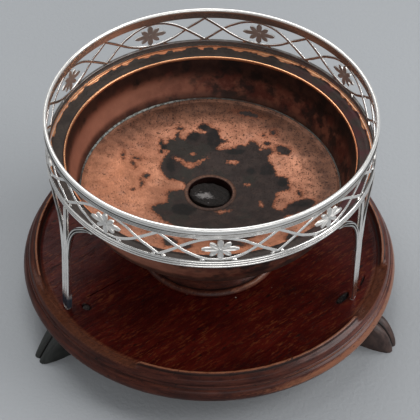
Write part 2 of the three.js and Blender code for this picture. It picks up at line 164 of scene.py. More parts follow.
def split(tree, vector):
    """The three parts of a vector."""
    made = add_node(tree, "ShaderNodeSeparateXYZ", inputs={0: vector})
    return [Wire(tree, output) for output in made.socket.node.outputs]


def join(tree, x, y, z):
    return add_node(tree, "ShaderNodeCombineXYZ", inputs={0: x, 1: y, 2: z})


def tint(colour):
    """Three numbers are a colour as it is seen, 0 to 255; all else is already as the renderer counts."""
    if isinstance(colour, Wire) or len(colour) == 4:
        return colour
    shares = [part / 255 for part in colour]
    return tuple(s / 12.92 if s <= 0.04045 else ((s + 0.055) / 1.055) ** 2.4 for s in shares) + (1.0,)


class Finish:
    """A material being mixed, with its place on the object in millimetres from the axis."""

    def __init__(self, name, **fixed):
        self.material = bpy.data.materials.new(name)
        self.material.use_nodes = True
        self.tree = self.material.node_tree
        self.shader = self.tree.nodes["Principled BSDF"]
        for socket, value in fixed.items():
            self.shader.inputs[socket.replace("_", " ")].default_value = value
        on_object = self.node("ShaderNodeTexCoord", out=3)
        centred = self.vector("SUBTRACT", on_object, tuple(AXIS))
        self.place = self.vector("SCALE", centred, scale=1 / MM)
        self.x, self.y, self.z = split(self.tree, self.place)
        self.radius = (self.x * self.x + self.y * self.y) ** 0.5
        self.colour = None
        self.azimuth = self.x.angle(-self.y) * (180 / math.pi)

    def node(self, kind, settings=None, inputs=None, out=0):
        return add_node(self.tree, kind, settings, inputs, out)

    def vector(self, operation, first, second=(0, 0, 0), scale=1.0):
        return self.node("ShaderNodeVectorMath", {"operation": operation}, {0: first, 1: second, 3: scale})

    def join(self, x, y, z):
        return join(self.tree, x, y, z)

    def noise(self, size, detail=3.0, rough=0.5, at=None, twist=0.0):
        """Soft noise about 0 to 1 whose blotches are about size millimetres across."""
        inputs = {"Scale": 1.0 / size, "Detail": detail, "Roughness": rough, "Distortion": twist}
        return self.node("ShaderNodeTexNoise", inputs={"Vector": at or self.place, **inputs})

    def specks(self, size, share, spread, at=None):
        """1 on scattered round specks, one for each size millimetres, of varied bigness."""
        inputs = {"Vector": at or self.place, "Scale": 1.0 / size}
        near = self.node("ShaderNodeTexVoronoi", inputs=inputs)
        dice = split(self.tree, self.node("ShaderNodeTexVoronoi", inputs=inputs, out=1))[0]
        reach = dice.step(1 - share, 1.0) * spread
        return (reach - near).step(0.0, 0.05)

    def mark(self, name):
        """One of the named numbers that the mesh's points carry."""
        return self.node("ShaderNodeAttribute", {"attribute_name": name}, out=2)

    def blend(self, share, first, second):
        settings = {"data_type": "RGBA", "blend_type": "MIX", "clamp_factor": True}
        return self.node("ShaderNodeMix", settings, {0: share, 6: tint(first), 7: tint(second)}, out=2)

    def lay(self, share, colour):
        """Lays a colour over what is painted so far, by a share of 0 to 1."""
        self.colour = self.blend(share, self.colour, colour)

    def shade(self, colour, light):
        """A colour made lighter or darker by a wire around 1."""
        return self.vector("SCALE", colour, scale=light)

    def bump(self, height, depth, over=None):
        """A normal from a height of 0 to 1, depth millimetres deep, over another normal."""
        inputs = {"Strength": 1.0, "Distance": depth * MM, "Height": height}
        if over is not None:
            inputs["Normal"] = over
        return self.node("ShaderNodeBump", inputs=inputs)

    def facing_axis(self):
        """1 on faces that look towards the turned axis, 0 on the others."""
        normal = self.node("ShaderNodeNewGeometry", out=1)
        x, y, _ = split(self.tree, normal)
        inwards = -(x * self.x + y * self.y) / self.radius
        return inwards.step(0.25, 0.75)

    def done(self, **sockets):
        """Links what was painted, and the other wires, to the shader's sockets."""
        for name, value in {"Base_Color": self.colour, **sockets}.items():
            plug(self.tree, value, self.shader.inputs[name.replace("_", " ")])
        return self.material


# Shapes

def at(azimuth, radius, z):
    """Points from azimuths in degrees, radii and heights."""
    a = np.radians(azimuth)
    return np.stack(np.broadcast_arrays(radius * np.sin(a), -radius * np.cos(a), z), axis=-1)


def mix(a, b, t):
    return a + (b - a) * t


def smoothstep(value, start, end):
    t = np.clip((value - start) / (end - start), 0, 1)
    return t * t * (3 - 2 * t)


def bell(*ways):
    """1 where every value is at its middle, falling off within its reach."""
    return np.exp(-sum(((value - middle) / reach) ** 2 for value, middle, reach in ways))


def turn_from(middle, azimuth):
    """Degrees from a middle azimuth, -180 to 180."""
    return (azimuth - middle + 180) % 360 - 180


def flow(points, step=0.35):
    """A smooth line through the points, with a point about every step millimetres."""
    p = np.array(points, float)
    chord = np.linalg.norm(np.diff(p, axis=0), axis=1)
    slope = np.gradient(p, np.concatenate([[0], np.cumsum(chord)]), axis=0)
    line = []
    for i, length in enumerate(chord):
        t = np.linspace(0, 1, max(2, int(np.ceil(length / step)) + 1))[:-1, None]
        line.append(
            (2 * t**3 - 3 * t**2 + 1) * p[i] + (t**3 - 2 * t**2 + t) * length * slope[i]
            + (3 * t**2 - 2 * t**3) * p[i + 1] + (t**3 - t**2) * length * slope[i + 1]
        )
    return [tuple(q) for q in np.concatenate(line)] + [tuple(p[-1])]


def straight(first, last, step):
    """Even steps from one point of an outline towards another, which is left out."""
    count = max(1, int(round(math.dist(first, last) / step)))
    return [tuple(mix(np.array(first), np.array(last), i / count)) for i in range(count)]


def arc(centre, radius, start, end, steps=10, tall=1.0):
    """Part of a circle in an outline; angles are from outwards towards up."""
    turns = np.radians(np.linspace(start, end, steps + 1))
    return [(centre[0] + radius * math.cos(a), centre[1] + tall * radius * math.sin(a)) for a in turns]


def waver(azimuth, seed, reach, waves=5):
    """A slow unevenness round a turned piece, at most reach either way, joined at the back."""
    dice = np.random.default_rng(seed)
    shares = dice.uniform(0.4, 1.0, waves)
    total = np.zeros_like(azimuth, dtype=float)
    for i, share in enumerate(shares):
        total = total + share * np.sin(np.radians(azimuth) * (i + 1) + dice.uniform(0, 2 * math.pi))
    return reach * total / shares.sum()


def lumps(spot, seed, size, waves=14):
    """Uneven ground about -1 to 1 over a grid of spots, with hills about size millimetres across."""
    dice = np.random.default_rng(seed)
    total = np.zeros(spot.shape[:-1])
    for _ in range(waves):
        turn, phase, scale = dice.uniform(0, 2 * math.pi, 2).tolist() + [dice.uniform(0.6, 1.6)]
        along = spot[..., 0] * math.cos(turn) + spot[..., 1] * math.sin(turn)
        total = total + np.sin(along * math.pi / (size * scale) + phase)
    return total / math.sqrt(waves)


def lattice_faces(rows, columns, ring_rows, ring_columns):
    """Quads over a grid of points, in rows; either way may run on into a ring."""
    i, j = np.meshgrid(
        np.arange(rows if ring_rows else rows - 1),
        np.arange(columns if ring_columns else columns - 1), indexing="ij",
    )
    k, l = (i + 1) % rows, (j + 1) % columns
    quads = np.stack([i * columns + j, k * columns + j, k * columns + l, i * columns + l], axis=-1)
    return [tuple(q) for q in quads.reshape(-1, 4).tolist()]


def turned(outline, azimuths=None, shape=None, ring=False):
    """Points and faces of a turned skin. The outline is (radius, height) pairs, upwards outside.

    A ring's outline closes on itself; any other starts and ends on the axis. The shape function
    gets azimuth, radius and height as grids and gives the changed radius and height.
    """
    if azimuths is None:
        azimuths = np.arange(0, 360, 0.75)
    inner = np.array(outline if ring else outline[1:-1], float)
    azimuth, radius = np.meshgrid(azimuths, inner[:, 0], indexing="ij")
    height = np.meshgrid(azimuths, inner[:, 1], indexing="ij")[1]
    if shape is not None:
        radius, height = shape(azimuth, radius, height)
    rows, columns = azimuth.shape
    points = at(azimuth, radius, height).reshape(-1, 3)
    faces = lattice_faces(rows, columns, True, ring)
    if not ring:
        poles = np.array([[0, 0, outline[0][1]], [0, 0, outline[-1][1]]], float)
        under, over = len(points), len(points) + 1
        points = np.concatenate([points, poles])
        for i in range(rows):
            k = (i + 1) % rows
            faces.append((under, k * columns, i * columns))
            faces.append((over, i * columns + columns - 1, k * columns + columns - 1))
    return points, faces


def loft(sections):
    """Points and faces of a skin through closed sections, capped at both ends."""
    grid = np.array(sections, float)
    rows, columns = grid.shape[:2]
    faces = lattice_faces(rows, columns, False, True)
    faces.append(tuple(range(columns)))
    faces.append(tuple(range(rows * columns - 1, (rows - 1) * columns - 1, -1)))
    return grid.reshape(-1, 3), faces


def set_marks(mesh, marks):
    """Named numbers for every point, which the finishes read."""
    for mark, values in marks.items():
        attribute = mesh.attributes.new(mark, "FLOAT", "POINT")
        attribute.data.foreach_set("value", np.array(values, np.float32).ravel())


def new_mesh(name, points, faces, marks=None):
    mesh = bpy.data.meshes.new(name)
    places = np.array(points, float) * MM + AXIS
    mesh.from_pydata(places.tolist(), [], faces)
    set_marks(mesh, marks or {})
    mesh.validate()
    return mesh


def as_grid(mesh_points):
    """Azimuth, radius and height of every point."""
    x, y, z = np.array(mesh_points, float).T
    return np.degrees(np.arctan2(x, -y)), np.hypot(x, y), z


def place_object(name, mesh):
    made = bpy.data.objects.new(name, mesh)
    bpy.context.scene.collection.objects.link(made)
    return made


def stand_in(mesh, name, finish, body, nodes=(), sharp=40):
    """Makes a finished piece of a mesh, rides it on its body and hides the CAD nodes it stands for."""
    mesh.materials.clear()
    mesh.materials.append(finish)
    mesh.shade_smooth()
    mesh.set_sharp_from_angle(angle=math.radians(sharp))
    piece = place_object(name, mesh)
    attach(piece, body)
    if nodes:
        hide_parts(*nodes)
    return piece


def evaluated(helper):
    """The mesh of an object after its modifiers; the object goes."""
    graph = bpy.context.evaluated_depsgraph_get()
    made = bpy.data.meshes.new_from_object(helper.evaluated_get(graph))
    bpy.data.objects.remove(helper)
    return made


def fused(name, shells):
    """One closed mesh from overlapping closed shells, each given as points and faces."""
    objects = [place_object(f"{name}_{i}", new_mesh(name, *shell)) for i, shell in enumerate(shells)]
    for other in objects[1:]:
        union = objects[0].modifiers.new("union", "BOOLEAN")
        union.operation = "UNION"
        union.solver = "EXACT"
        union.object = other
    made = evaluated(objects[0])
    for other in objects[1:]:
        bpy.data.objects.remove(other)
    return made


# Finishes

TARNISH = (0.035, 0.028, 0.024, 1)
SHADED_SILVER = (0.42, 0.37, 0.35, 1)
HIGHLIGHT_SILVER = (1.0, 0.98, 0.94, 1)
SLATE_REFLECTION = (58, 64, 74)


def silver_finish(name, dullness, bright):
    """Old silver: tarnished black in the hollows, with painted shade on the faces that look inwards, a
    painted highlight and a painted grey-blue reflection where marked.
    """
    paint = Finish(name)
    hollow = paint.mark("hollow")
    rubbed_and_highlit = paint.mark("rubbed_and_highlit")
    slate_reflection = paint.mark("slate_reflection")
    smear = paint.noise(7.0, 4.0, 0.6)
    inside = paint.facing_axis()
    tarnish_and_shade = (hollow * (0.6 + smear * 0.8)).step(0.3, 0.8)
    # Painted shade: the faces that look inwards are darkened in clouds, standing for the dark inside that
    # they reflect.
    soot = inside * (0.4 + paint.noise(4.0, 4.0, 0.65) * 0.6)
    paint.colour = paint.blend(smear.step(0.35, 0.8) * 0.5, bright, (0.84, 0.82, 0.79, 1))
    # Tarnish in the hollows, with the painted shade that the rims' marks add at the sides and on the lower
    # rim's inner top edge.
    paint.lay(tarnish_and_shade * 0.94, TARNISH)
    paint.lay(soot * 0.5, SHADED_SILVER)
    # Painted highlight: near-white silver where the mesh marks it, with less metal there.
    paint.lay(rubbed_and_highlit, HIGHLIGHT_SILVER)
    # Painted reflection: a dark grey-blue patch where the mesh marks it.
    paint.lay(slate_reflection, SLATE_REFLECTION)
    along = paint.join(paint.azimuth * 0.5, paint.radius * 2.0, paint.z * 3.0)
    scratch = paint.noise(0.5, 2.0, 0.7, at=along)
    rough = dullness + smear.step(0.3, 0.8) * 0.06 + tarnish_and_shade * 0.25
    normal = paint.bump(scratch, 0.003)
    normal = paint.bump(paint.noise(2.5, 2.0, 0.5), 0.008, over=normal)
    metallic = 1 - rubbed_and_highlit * 0.4 - slate_reflection * 0.75
    return paint.done(Metallic=metallic, Roughness=rough, Normal=normal)


def copper_floor_finish():
    """The pan's floor: brushed copper, turned brown by heat, with the black burns of embers; painted light
    on its left and front, and painted shade along the wall.
    """
    paint = Finish("fire_stained_copper", Specular_IOR_Level=0.25)
    shaken = (paint.noise(3.0, 1.0) - 0.5) * 2.4 + (paint.noise(1.0, 2.0, 0.6) - 0.5) * 3.0
    shaken = shaken + (paint.noise(0.4, 1.0) - 0.5) * 1.0
    depth = paint.mark("burn") + shaken
    burn = depth.step(-0.25, 0.45)
    halo = depth.step(-3.0, 0.4) * (1 - burn)
    cloud = paint.noise(5.0, 4.0, 0.65)
    char = (paint.mark("char") + (cloud - 0.5) * 2.2 + shaken * 0.1).step(0.3, 0.95)
    # Painted shade along the floor's edge next to the wall, strongest on the right and back.
    edge = (paint.mark("edge") + (cloud - 0.5) * 0.5).step(0.05, 0.95)
    broad = paint.noise(16.0, 4.0, 0.6)
    fine = paint.noise(0.5, 3.0, 0.8)
    grit = paint.noise(1.3, 4.0, 0.75)
    brushed = paint.noise(1.0, 3.0, 0.7, at=paint.join(paint.x * 1.6, paint.y * 0.5, paint.z), twist=0.6)
    # Painted light: the floor's left and front, where the lamps light it, are painted a lighter, warmer
    # copper.
    lit_left_front = (paint.x + 50).step(46.0, 0.0) * (paint.y - 6).size().step(34.0, 8.0)
    lit_left_front = lit_left_front.high(paint.y.step(-32.0, -42.0))
    paint.colour = paint.blend(broad.step(0.3, 0.7), (196, 137, 109), (160, 108, 85))
    paint.lay(cloud.step(0.46, 0.72) * 0.7, (120, 79, 61))
    paint.lay(lit_left_front * (0.3 + cloud * 0.5), (206, 138, 103))
    dusty = (paint.noise(9.0, 3.0, 0.6) - 0.1).step(0.45, 0.7)
    paint.lay(dusty * 0.3, (160, 132, 122))
    wall_shade = paint.blend(cloud.step(0.3, 0.7), (104, 71, 55), (70, 49, 40))
    paint.lay(edge * 0.85, wall_shade)
    paint.lay(brushed.step(0.35, 0.75) * 0.25, (96, 64, 50))
    paint.lay(halo * 0.4, (136, 76, 52))
    paint.lay(depth.step(-1.1, -0.1) * 0.75, (104, 62, 44))
    soot = paint.blend(cloud.step(0.35, 0.7), (48, 38, 35), (64, 51, 46))
    greenish = (paint.noise(8.0, 2.0) + paint.x * -0.004).step(0.5, 0.66)
    soot = paint.blend(greenish * 0.6, soot, (48, 47, 41))
    soot = paint.blend(char, soot, (28, 25, 23))
    rust = paint.noise(3.0, 4.0, 0.7).step(0.62, 0.74) * (1 - char)
    soot = paint.blend(rust * 0.5, soot, (104, 70, 54))
    paint.lay(burn, soot)
    paint.colour = paint.shade(paint.colour, 0.38 + fine * 0.50 + grit * 0.64)
    speckled = (paint.noise(9.0, 3.0, 0.6) + (paint.x + paint.y).step(-30.0, 50.0) * 0.25).step(0.4, 0.68)
    wobble = paint.join((paint.noise(0.7, 2.0) - 0.5) * 1.4, (paint.noise(0.9, 2.0) - 0.5) * 1.4, 0.0)
    wobbly = paint.vector("ADD", paint.place, wobble)
    small, large = paint.specks(0.75, 0.8, 0.5, at=wobbly), paint.specks(1.7, 0.6, 0.33, at=wobbly)
    specks = ((small + large * 0.9) * speckled).low(1.0)
    paint.lay(specks * 0.75, (44, 32, 28))
    rough = 0.38 + brushed * 0.12 + burn * 0.16 + specks * 0.1
    metallic = 0.85 - burn * 0.6 - edge * 0.2
    normal = paint.bump(brushed, 0.05)
    normal = paint.bump(paint.noise(9.0, 2.0, 0.5), 0.5, over=normal)
    normal = paint.bump(burn + specks * 0.5, 0.03, over=normal)
    return paint.done(Metallic=metallic, Roughness=rough, Normal=normal)


def copper_wall_finish():
    """The pan's wall and flange: darkened by smoke in clouds, with painted light on the left of the wall,
    and bare copper from wear on the edges with a painted glint.
    """
    paint = Finish("smoked_copper")
    wear_and_highlight = paint.mark("wear_and_highlight")
    flange = paint.mark("flange")
    cloud = paint.noise(7.0, 4.0, 0.6)
    moved = paint.vector("ADD", paint.place, (80.0, 30.0, 0.0))
    smoke = paint.noise(8.0, 4.0, 0.62, at=moved)
    fine = paint.noise(1.2, 3.0, 0.7)
    # Painted light: on the lit left of the wall the smoke and the black at the top are laid thinner, and a
    # light copper band is laid in.
    on_left = paint.x.step(10.0, -50.0)
    paint.colour = paint.blend(cloud.step(0.38, 0.62), (84, 38, 27), (122, 72, 54))
    paint.lay((smoke - on_left * 0.12).step(0.44, 0.62) * 0.9, (32, 20, 17))
    middle = paint.z.step(73.5, 77.0) * (paint.z + cloud * 6.0).step(91.0, 84.0)
    paint.lay(on_left * middle * (0.55 + cloud * 0.6), (180, 120, 97))
    paint.lay(paint.z.step(77.0, 72.5) * 0.6, (62, 46, 39))
    high = (paint.z + (cloud - 0.5) * 14.0 - on_left * 3.0).step(81.0, 87.0)
    paint.lay(high * 0.8, (19, 9, 7))
    ring = paint.blend(fine.step(0.3, 0.8), (72, 61, 54), (48, 40, 36))
    ring = paint.blend(cloud.step(0.45, 0.7) * 0.7, ring, (38, 31, 28))
    ring = paint.blend(paint.x.step(25.0, 70.0) * smoke.step(0.62, 0.4) * 0.85, ring, (82, 38, 42))
    paint.lay(flange, paint.shade(ring, 0.72 + fine * 0.55))
    rubbed_and_highlit = (wear_and_highlight * 1.3 - 0.72 + cloud * 0.9 + fine * 0.5).step(0.25, 0.6)
    # Painted glint: the brightest places on the edges are lightened to near white.
    glint = (wear_and_highlight - 1.0).step(-0.4, 0.1)
    bare = paint.blend(fine, (232, 152, 106), (182, 114, 82))
    bare = paint.blend(glint, bare, (255, 190, 142))
    paint.lay(rubbed_and_highlit, bare)
    rough = 0.42 + fine * 0.12 + flange * 0.1 - rubbed_and_highlit * 0.14 - glint * 0.08
    metallic = 0.55 + rubbed_and_highlit * 0.35 - flange * 0.15
    normal = paint.bump(fine, 0.03)
    normal = paint.bump(cloud, 0.25, over=normal)
    return paint.done(Metallic=metallic, Roughness=rough, Normal=normal)


def eyelet_finish():
    """Browned copper, darker towards the front, with painted shade in the bore."""
    paint = Finish("browned_eyelet")
    fine = paint.noise(1.2, 3.0, 0.7)
    paint.colour = paint.blend(fine.step(0.3, 0.7), (118, 82, 64), (80, 57, 46))
    paint.lay((-paint.y).step(-2.0, 11.0) * 0.7, (38, 30, 27))
    # Painted shade inside the bore.
    in_bore = paint.radius.step(PAN_HOLE + 0.35, PAN_HOLE + 0.05)
    paint.lay(in_bore, (46, 20, 15))
    normal = paint.bump(fine, 0.05)
    return paint.done(Metallic=0.5, Roughness=0.5 + fine * 0.15, Normal=normal)


def solder_finish():
    """Solder: bright and thick at the back left, smoked over on the right."""
    paint = Finish("grey_solder")
    crumb = paint.noise(1.6, 3.0, 0.7)
    bright = (paint.azimuth + 137).size().step(52.0, 18.0)
    paint.colour = paint.blend(crumb.step(0.3, 0.7), (62, 60, 56), (92, 90, 84))
    paint.lay(bright * crumb.step(0.35, 0.65) * 0.9, (168, 174, 170))
    paint.lay(paint.noise(7.0, 2.0).step(0.48, 0.62) * (1 - bright), (70, 52, 44))
    normal = paint.bump(crumb, 0.15)
    return paint.done(Metallic=0.6, Roughness=0.42 + crumb * 0.15, Normal=normal)


GRAIN_TURN = math.radians(38)
BARE_MAHOGANY = (0.150, 0.050, 0.024, 1)


def grain(paint):
    """The place along the grain, across it, and up; the grain runs straight through the board."""
    along = paint.x * math.cos(GRAIN_TURN) + paint.y * math.sin(GRAIN_TURN)
    across = paint.y * math.cos(GRAIN_TURN) - paint.x * math.sin(GRAIN_TURN)
    drift = (paint.noise(30.0, 2.0, 0.5) - 0.5) * 5.0
    return along, across + drift, paint.z


def mahogany_finish():
    """Waxed mahogany: deep red and glossy inside the rim, browner with wear on the mouldings; lighter on
    the right side as painted light, painted highlights where the wear is marked, and grime with painted
    shade in the hollows.
    """
    paint = Finish("mahogany", Specular_IOR_Level=0.1, Coat_Roughness=0.3)
    wear_and_highlight = paint.mark("wear_and_highlight")
    dirt = paint.mark("dirt")
    ramp = paint.mark("ramp")
    along, across, up = grain(paint)
    figure = paint.noise(3.2, 4.0, 0.65, at=paint.join(along * 0.12, across, up * 0.6))
    pores = paint.noise(0.62, 2.0, 0.6, at=paint.join(along * 0.13, across, up * 0.8))
    flecks = paint.noise(1.0, 3.0, 0.7, at=paint.join(along * 0.22, across, up))
    cloud = paint.noise(22.0, 3.0, 0.55)
    in_floor = paint.radius.step(88.0, 85.5) * (paint.z - BOARD_FLOOR).size().step(1.5, 0.5)
    red = paint.blend(figure.step(0.3, 0.72), (0.036, 0.0026, 0.0022, 1), (0.088, 0.0085, 0.0048, 1))
    red = paint.blend(cloud.step(0.4, 0.7) * 0.6, red, (0.024, 0.0026, 0.0022, 1))
    lit_flecks = flecks.step(0.52, 0.66) * (0.3 + cloud.step(0.6, 0.35) * 0.5)
    red = paint.blend(lit_flecks, red, (0.15, 0.036, 0.012, 1))
    streak = paint.noise(2.0, 4.0, 0.7, at=paint.join(paint.azimuth * 0.25, paint.radius, paint.z))
    brown = paint.blend(streak.step(0.3, 0.7), (0.040, 0.0100, 0.0076, 1), (0.115, 0.0310, 0.0180, 1))
    brown = paint.blend(cloud.step(0.45, 0.7) * 0.5, brown, (0.030, 0.010, 0.008, 1))
    # Painted light: the mouldings on the lit right side are painted lighter.
    lit_right = (paint.azimuth - 80).size().step(75.0, 25.0)
    brown = paint.shade(brown, 0.72 + lit_right * 0.6)
    paint.colour = paint.blend(in_floor, brown, red)
    paint.lay(ramp * (0.35 + flecks.step(0.35, 0.65) * 0.5), BARE_MAHOGANY)
    # Wear and painted highlight: lighter brown where the mesh marks it.
    rubbed_and_highlit = (wear_and_highlight * 1.5 - 0.85 + flecks * 0.7 + figure * 0.55).step(0.2, 0.75)
    paint.lay(rubbed_and_highlit * 0.8, paint.blend(flecks, (0.24, 0.080, 0.034, 1), (0.36, 0.15, 0.08, 1)))
    paint.lay(pores.step(0.60, 0.70) * 0.8, (0.010, 0.004, 0.003, 1))
    # Grime and painted shade: near black where the mesh marks it.
    paint.lay((dirt * (0.7 + cloud * 0.6)).low(1.0), (0.007, 0.004, 0.0035, 1))
    stray = paint.specks(6.0, 0.22, 0.12)
    paint.lay(stray * in_floor * 0.6, (0.45, 0.36, 0.30, 1))
    dark = paint.specks(5.0, 0.35, 0.17, at=paint.join(along * 0.5, across, up))
    paint.lay(dark * 0.8, (0.008, 0.004, 0.003, 1))
    rough = 0.30 + flecks * 0.12 + pores.step(0.55, 0.7) * 0.2 + rubbed_and_highlit * 0.12
    rough = rough - in_floor * 0.04 + dirt * 0.2
    normal = paint.bump(1 - pores.step(0.55, 0.75), 0.05)
    normal = paint.bump(flecks, 0.05, over=normal)
    normal = paint.bump(cloud, 0.5, over=normal)
    coat = (1 - in_floor) * (1 - ramp) * (0.12 + lit_right * 0.58 - dirt * 0.1)
    return paint.done(Roughness=rough, Coat_Weight=coat, Normal=normal)


def foot_finish(name, dark, light):
    """A foot's wood: grain along the foot, handled dull on the ribs, black in the groove from grime and
    painted shade.
    """
    paint = Finish(name)
    dirt = paint.mark("dirt")
    lengthways = paint.join(paint.azimuth * 2.0, paint.radius * 0.15, paint.z * 0.2)
    streak = paint.noise(1.2, 4.0, 0.7, at=lengthways)
    cloud = paint.noise(6.0, 3.0, 0.6)
    paint.colour = paint.blend(streak.step(0.3, 0.7), dark, light)
    paint.lay(cloud.step(0.5, 0.75) * 0.5, (0.018, 0.013, 0.011, 1))
    # Grime and painted shade: black in the groove between the ribs.
    paint.lay(dirt * 0.9, (0.006, 0.004, 0.003, 1))
    normal = paint.bump(streak, 0.12)
    return paint.done(Roughness=0.36 + streak * 0.2, Normal=normal)


def charred_finish():
    """The spigot's top: burnt wood with a dusting of ash."""
    paint = Finish("charred_wood", Specular_IOR_Level=0.2)
    crumb = paint.noise(1.4, 5.0, 0.75)
    aside = (paint.x + 3.0) / 4.5
    near = (paint.y + 3.0) / 3.0
    ash = 0.75 - (aside * aside + near * near) ** 0.5 * 0.5
    dust = (ash + (crumb - 0.5) * 1.6).step(0.2, 0.6)
    paint.colour = paint.blend(crumb.step(0.3, 0.7), (0.008, 0.007, 0.006, 1), (0.024, 0.019, 0.017, 1))
    paint.lay(dust * 0.75, (0.30, 0.28, 0.27, 1))
    paint.lay(paint.specks(1.3, 0.25, 0.2) * 0.6, (0.42, 0.40, 0.39, 1))
    below = paint.z.step(60.5, 59.0)
    paint.lay(below, (0.030, 0.007, 0.005, 1))
    normal = paint.bump(crumb, 0.5)
    return paint.done(Roughness=0.5 + crumb * 0.3, Normal=normal)


def iron_finish():
    """The nails' heads: dark iron with a crust of rust."""
    paint = Finish("rusted_iron")
    crumb = paint.noise(0.8, 4.0, 0.7)
    paint.colour = paint.blend(crumb.step(0.35, 0.65), (36, 32, 31), (78, 68, 64))
    normal = paint.bump(crumb, 0.1)
    return paint.done(Metallic=0.6, Roughness=0.5 + crumb * 0.25, Normal=normal)


SILVER = silver_finish("worn_silver", 0.19, (1.0, 0.97, 0.93, 1))
MATTE_SILVER = silver_finish("matte_silver", 0.42, (0.82, 0.80, 0.77, 1))
COPPER_FLOOR = copper_floor_finish()
COPPER_WALL = copper_wall_finish()
SOLDER = solder_finish()
MAHOGANY = mahogany_finish()
BLACKENED_FOOT = foot_finish("blackened_wood", (0.006, 0.007, 0.0055, 1), (0.024, 0.026, 0.022, 1))
BROWN_FOOT = foot_finish("handled_wood", (0.026, 0.012, 0.010, 1), (0.090, 0.050, 0.040, 1))
CHARRED = charred_finish()
IRON = iron_finish()
EYELET = eyelet_finish()


# Base board

CRACK = ((-61.5, 70.8), (-64.6, 47.5))
# Hollows in the floor: azimuth, distance out, half length, half width, turn of the length from
# straight out, and depth.
HOLLOWS = [
    (-57.6, 74.2, 2.3, 3.4, 12, 1.6), (59.7, 75.1, 5.9, 2.2, 79, 1.7), (180, 74.2, 2.3, 2, 0, 1.3),
    (-61, 82.6, 1.9, 3.2, 0, 0.5), (70.5, 80.5, 4.6, 0.8, 86, 0.9), (65.5, 79.8, 2.6, 0.7, 60, 0.8),
    (-52, 70, 0.6, 0.6, 0, 0.5), (-46, 73.5, 0.7, 0.5, 40, 0.4), (-38, 66, 0.9, 0.5, 20, 0.4),
]


def scoop_depth(azimuth):
    """1 where the board's inner lip is cut away to the full, 0 where it stands."""
    depth = np.zeros_like(azimuth)
    for start, full, full_end, end in SCOOPS:
        turn = np.where(azimuth > max(end, 180), azimuth - 360, azimuth)
        cut = np.minimum(smoothstep(turn, start, full), 1 - smoothstep(turn, full_end, end))
        depth = np.maximum(depth, cut)
    return depth


def hollow_depth(azimuth, radius):
    """How far the floor is sunk by nail holes, dents and the crack."""
    spot = at(azimuth, radius, 0.0)[..., :2]
    sunk = np.zeros_like(radius)
    for turn, out, half_long, half_wide, twist, depth in HOLLOWS:
        away = spot - at(turn, out, 0.0)[:2]
        outwards = at(turn + twist, 1, 0.0)[:2]
        along = away @ outwards
        across = away @ np.array([-outwards[1], outwards[0]])
        share = np.sqrt((along / half_long) ** 2 + (across / half_wide) ** 2)
        sunk = np.maximum(sunk, depth * (1 - smoothstep(share, 0.55, 1.0)))
    start, end = (at(*mark, 0.0)[:2] for mark in CRACK)
    line = end - start
    length = np.linalg.norm(line)
    line = line / length
    along = (spot - start) @ line
    across = np.abs((spot - start) @ np.array([-line[1], line[0]]) + 0.12 * np.sin(along * 0.9))
    taper = smoothstep(along, -0.5, 4.0) * (1 - smoothstep(along, length - 6.0, length + 0.5))
    return np.maximum(sunk, 1.4 * taper * (1 - smoothstep(across, 0.08, 0.34)))


def board_shape(azimuth, radius, height):
    """Cuts the lip to a ramp at the legs, chips and wears it, and sinks the floor's hollows."""
    ramp_start, ramp_end, ramp_top = 83.4, 91.6, 30.4
    along = np.clip((radius - ramp_start) / (ramp_end - ramp_start), 0, 1)
    ramp = mix(BOARD_FLOOR, ramp_top, along**1.5)
    in_lip = (radius > ramp_start) & (radius < ramp_end) & (height > BOARD_FLOOR - 1)
    cut = np.where(in_lip, scoop_depth(azimuth), 0)
    shaped = mix(height, np.minimum(height, ramp), cut)
    spot = at(azimuth, radius, 0.0)
    chips = np.clip(lumps(spot, 11, 2.4), 0, 2) * 0.22
    shaped = shaped - chips * bell((radius, 88.6, 0.9)) * (height > 31.3)
    wear = np.clip(lumps(spot, 12, 7.0), 0, 2) * 0.12
    shaped = shaped - wear * smoothstep(radius, 89.0, 90.0) * (height > 28)
    on_floor = np.abs(height - BOARD_FLOOR) < 0.4
    shaped = np.where(on_floor & (radius > 38), shaped - hollow_depth(azimuth, radius), shaped)
    narrowed = radius - (0.12 + waver(azimuth, 5, 0.12)) * (radius > 92)
    return narrowed, shaped


def board_azimuths():
    """Even steps round the board, finer where the floor has nail holes and the crack."""
    steps = [np.arange(0, 360, 0.75)]
    for middle, reach, step in ((-57.6, 3.0, 0.18), (60.5, 5.0, 0.18), (180, 2.4, 0.3), (-63.0, 2.6, 0.08)):
        steps.append(np.arange(middle - reach, middle + reach, step) % 360)
    every = np.unique(np.round(np.concatenate(steps), 3))
    return every[np.concatenate([[True], np.diff(every) > 0.03])]


